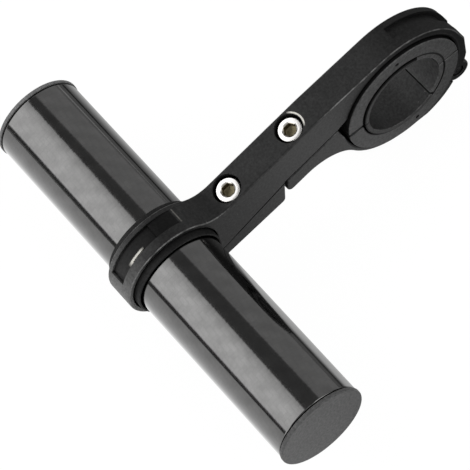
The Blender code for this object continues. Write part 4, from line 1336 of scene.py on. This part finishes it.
# %% Lay the floor
floor_z = plain_low.z - 0.02 * MM
FLOOR_HALF = 1.2
corner = np.array([-1.0, 1.0]) * FLOOR_HALF
sheet = np.stack(np.meshgrid(corner, corner), -1).reshape(-1, 2)
sheet = np.column_stack([sheet, np.full(4, floor_z)])
floor = make_object("floor", sheet, [(0, 1, 3, 2)])
print("floor at", round(floor_z / MM, 2), "mm")

# %% Paint its strips of shade, seen only in reflections
STRIP_START, STRIP_END = -90, 130
GLOW, MIRRORED_SHARE, STRAIGHT_SHARE = 1.03, 0.97, 0.94
NEAR_SIDE = [(-90, 0.95), (-80, 0.95), (-60, 0.62)]
UNDER_CLAMP = [(-50, 0.45), (-38, 0.62), (-24, 0.85), (-12, 0.85), (0, 0.60), (14, 0.26),
               (24, 0.08), (40, 0.08), (128, 0.20)]
UNDER_RING = [(-50, 0.42), (-38, 0.35), (-24, 0.28), (-14, 0.06), (20, 0.06), (60, 0.08),
              (90, 0.24), (128, 0.24)]
UNDER_LEFT = [(-50, 0.45), (-38, 0.50), (-24, 0.45), (-6, 0.30), (12, 0.22), (24, 0.02),
              (50, 0.02), (75, 0.25), (128, 0.25)]
paper = bpy.data.materials.new("white_paper")
paper.use_nodes = True
tree = paper.node_tree
shader = tree.nodes["Principled BSDF"]
feed(shader.inputs["Base Color"], grey(0.82))
feed(shader.inputs["Roughness"], 0.9)
x, y, _ = axes(tap(tree, "ShaderNodeTexCoord", (), "Object"))
along = spread(y, STRIP_START * MM, STRIP_END * MM)


def painted_strip(patches):
    """Grey levels of painted shade along Y, given as (place in millimetres, level)."""
    span = STRIP_END - STRIP_START
    return graded(along, [((at - STRIP_START) / span, level) for at, level in NEAR_SIDE + patches])


mirrored = blend(spread(x, 0.0, 4 * MM), painted_strip(UNDER_RING), painted_strip(UNDER_CLAMP))
mirrored = blend(fade(x, -30 * MM, -22 * MM), mirrored, painted_strip(UNDER_LEFT))
glossy = ray(tree, "Glossy")
shown = blend(glossy, WHITE, mirrored)
glow = tap(tree, "ShaderNodeEmission", {"Color": shown, "Strength": GLOW})
share = calc("MAXIMUM", glossy * MIRRORED_SHARE, seen_straight(tree) * STRAIGHT_SHARE)
mixed = tap(tree, "ShaderNodeMixShader", {0: share, 1: Signal(shader.outputs[0]), 2: glow})
feed(tree.nodes["Material Output"].inputs["Surface"], mixed)
floor.data.materials.append(paper)
print("floor material", len(tree.nodes), "nodes")

# %% [markdown]
# ## Put the pieces on their bodies
# Every new piece takes the place of one plain solid: it rides on that solid's body and
# hides it.

# %% Dress and attach
DRESSING = [
    (arm, plastic["arm_glass_nylon"], "arm", "arm_plastic", "arm_body"),
    (jaw, plastic["jaw_glass_nylon"], "jaw", "jaw_plastic", "handlebar_jaw"),
    (upper_shell, plastic["upper_shell_matt_plastic"], "arm", "shell_plastic",
     "outer_shim_upper"),
    (lower_shell, plastic["lower_shell_matt_plastic"], "jaw", "shell_plastic",
     "outer_shim_lower"),
    (upper_liner, plastic["upper_liner_plastic"], "arm", "liner_plastic", "inner_liner_upper"),
    (lower_liner, plastic["lower_liner_plastic"], "jaw", "liner_plastic", "inner_liner_lower"),
    (sleeve, plastic["sleeve_soft_plastic"], "arm", "sleeve_plastic", "tube_liner"),
    (tube, cloth_mat, "tube", "carbon_weave", "carbon_tube"),
    (right_plug, plastic["right_plug_plastic"], "tube", "cap_plastic", "end_plug_right"),
    (left_plug, plastic["left_plug_plastic"], "tube", "cap_plastic", "end_plug_left"),
    (tube_screw, tube_screw_mat, "tube_screw", "screw_steel", "tube_clamp_screw"),
    (bar_screw, bar_screw_mat, "handlebar_screw", "screw_steel", "handlebar_clamp_screw"),
    (tube_nut, tube_nut_mat, "arm", "nut_steel", "tube_clamp_nut"),
    (bar_nut, bar_nut_mat, "jaw", "nut_steel", "handlebar_clamp_nut"),
    (pin, pin_mat, "arm", "pin_steel", "hinge_pin"),
]
for piece, material, body, slot, plain in DRESSING:
    piece.data.materials.clear()
    piece.data.materials.append(material)
    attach(piece, body)
    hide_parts(plain)
print("dressed", len(DRESSING), "pieces")

# %% Set the view
bpy.context.scene.view_settings.view_transform = "Standard"
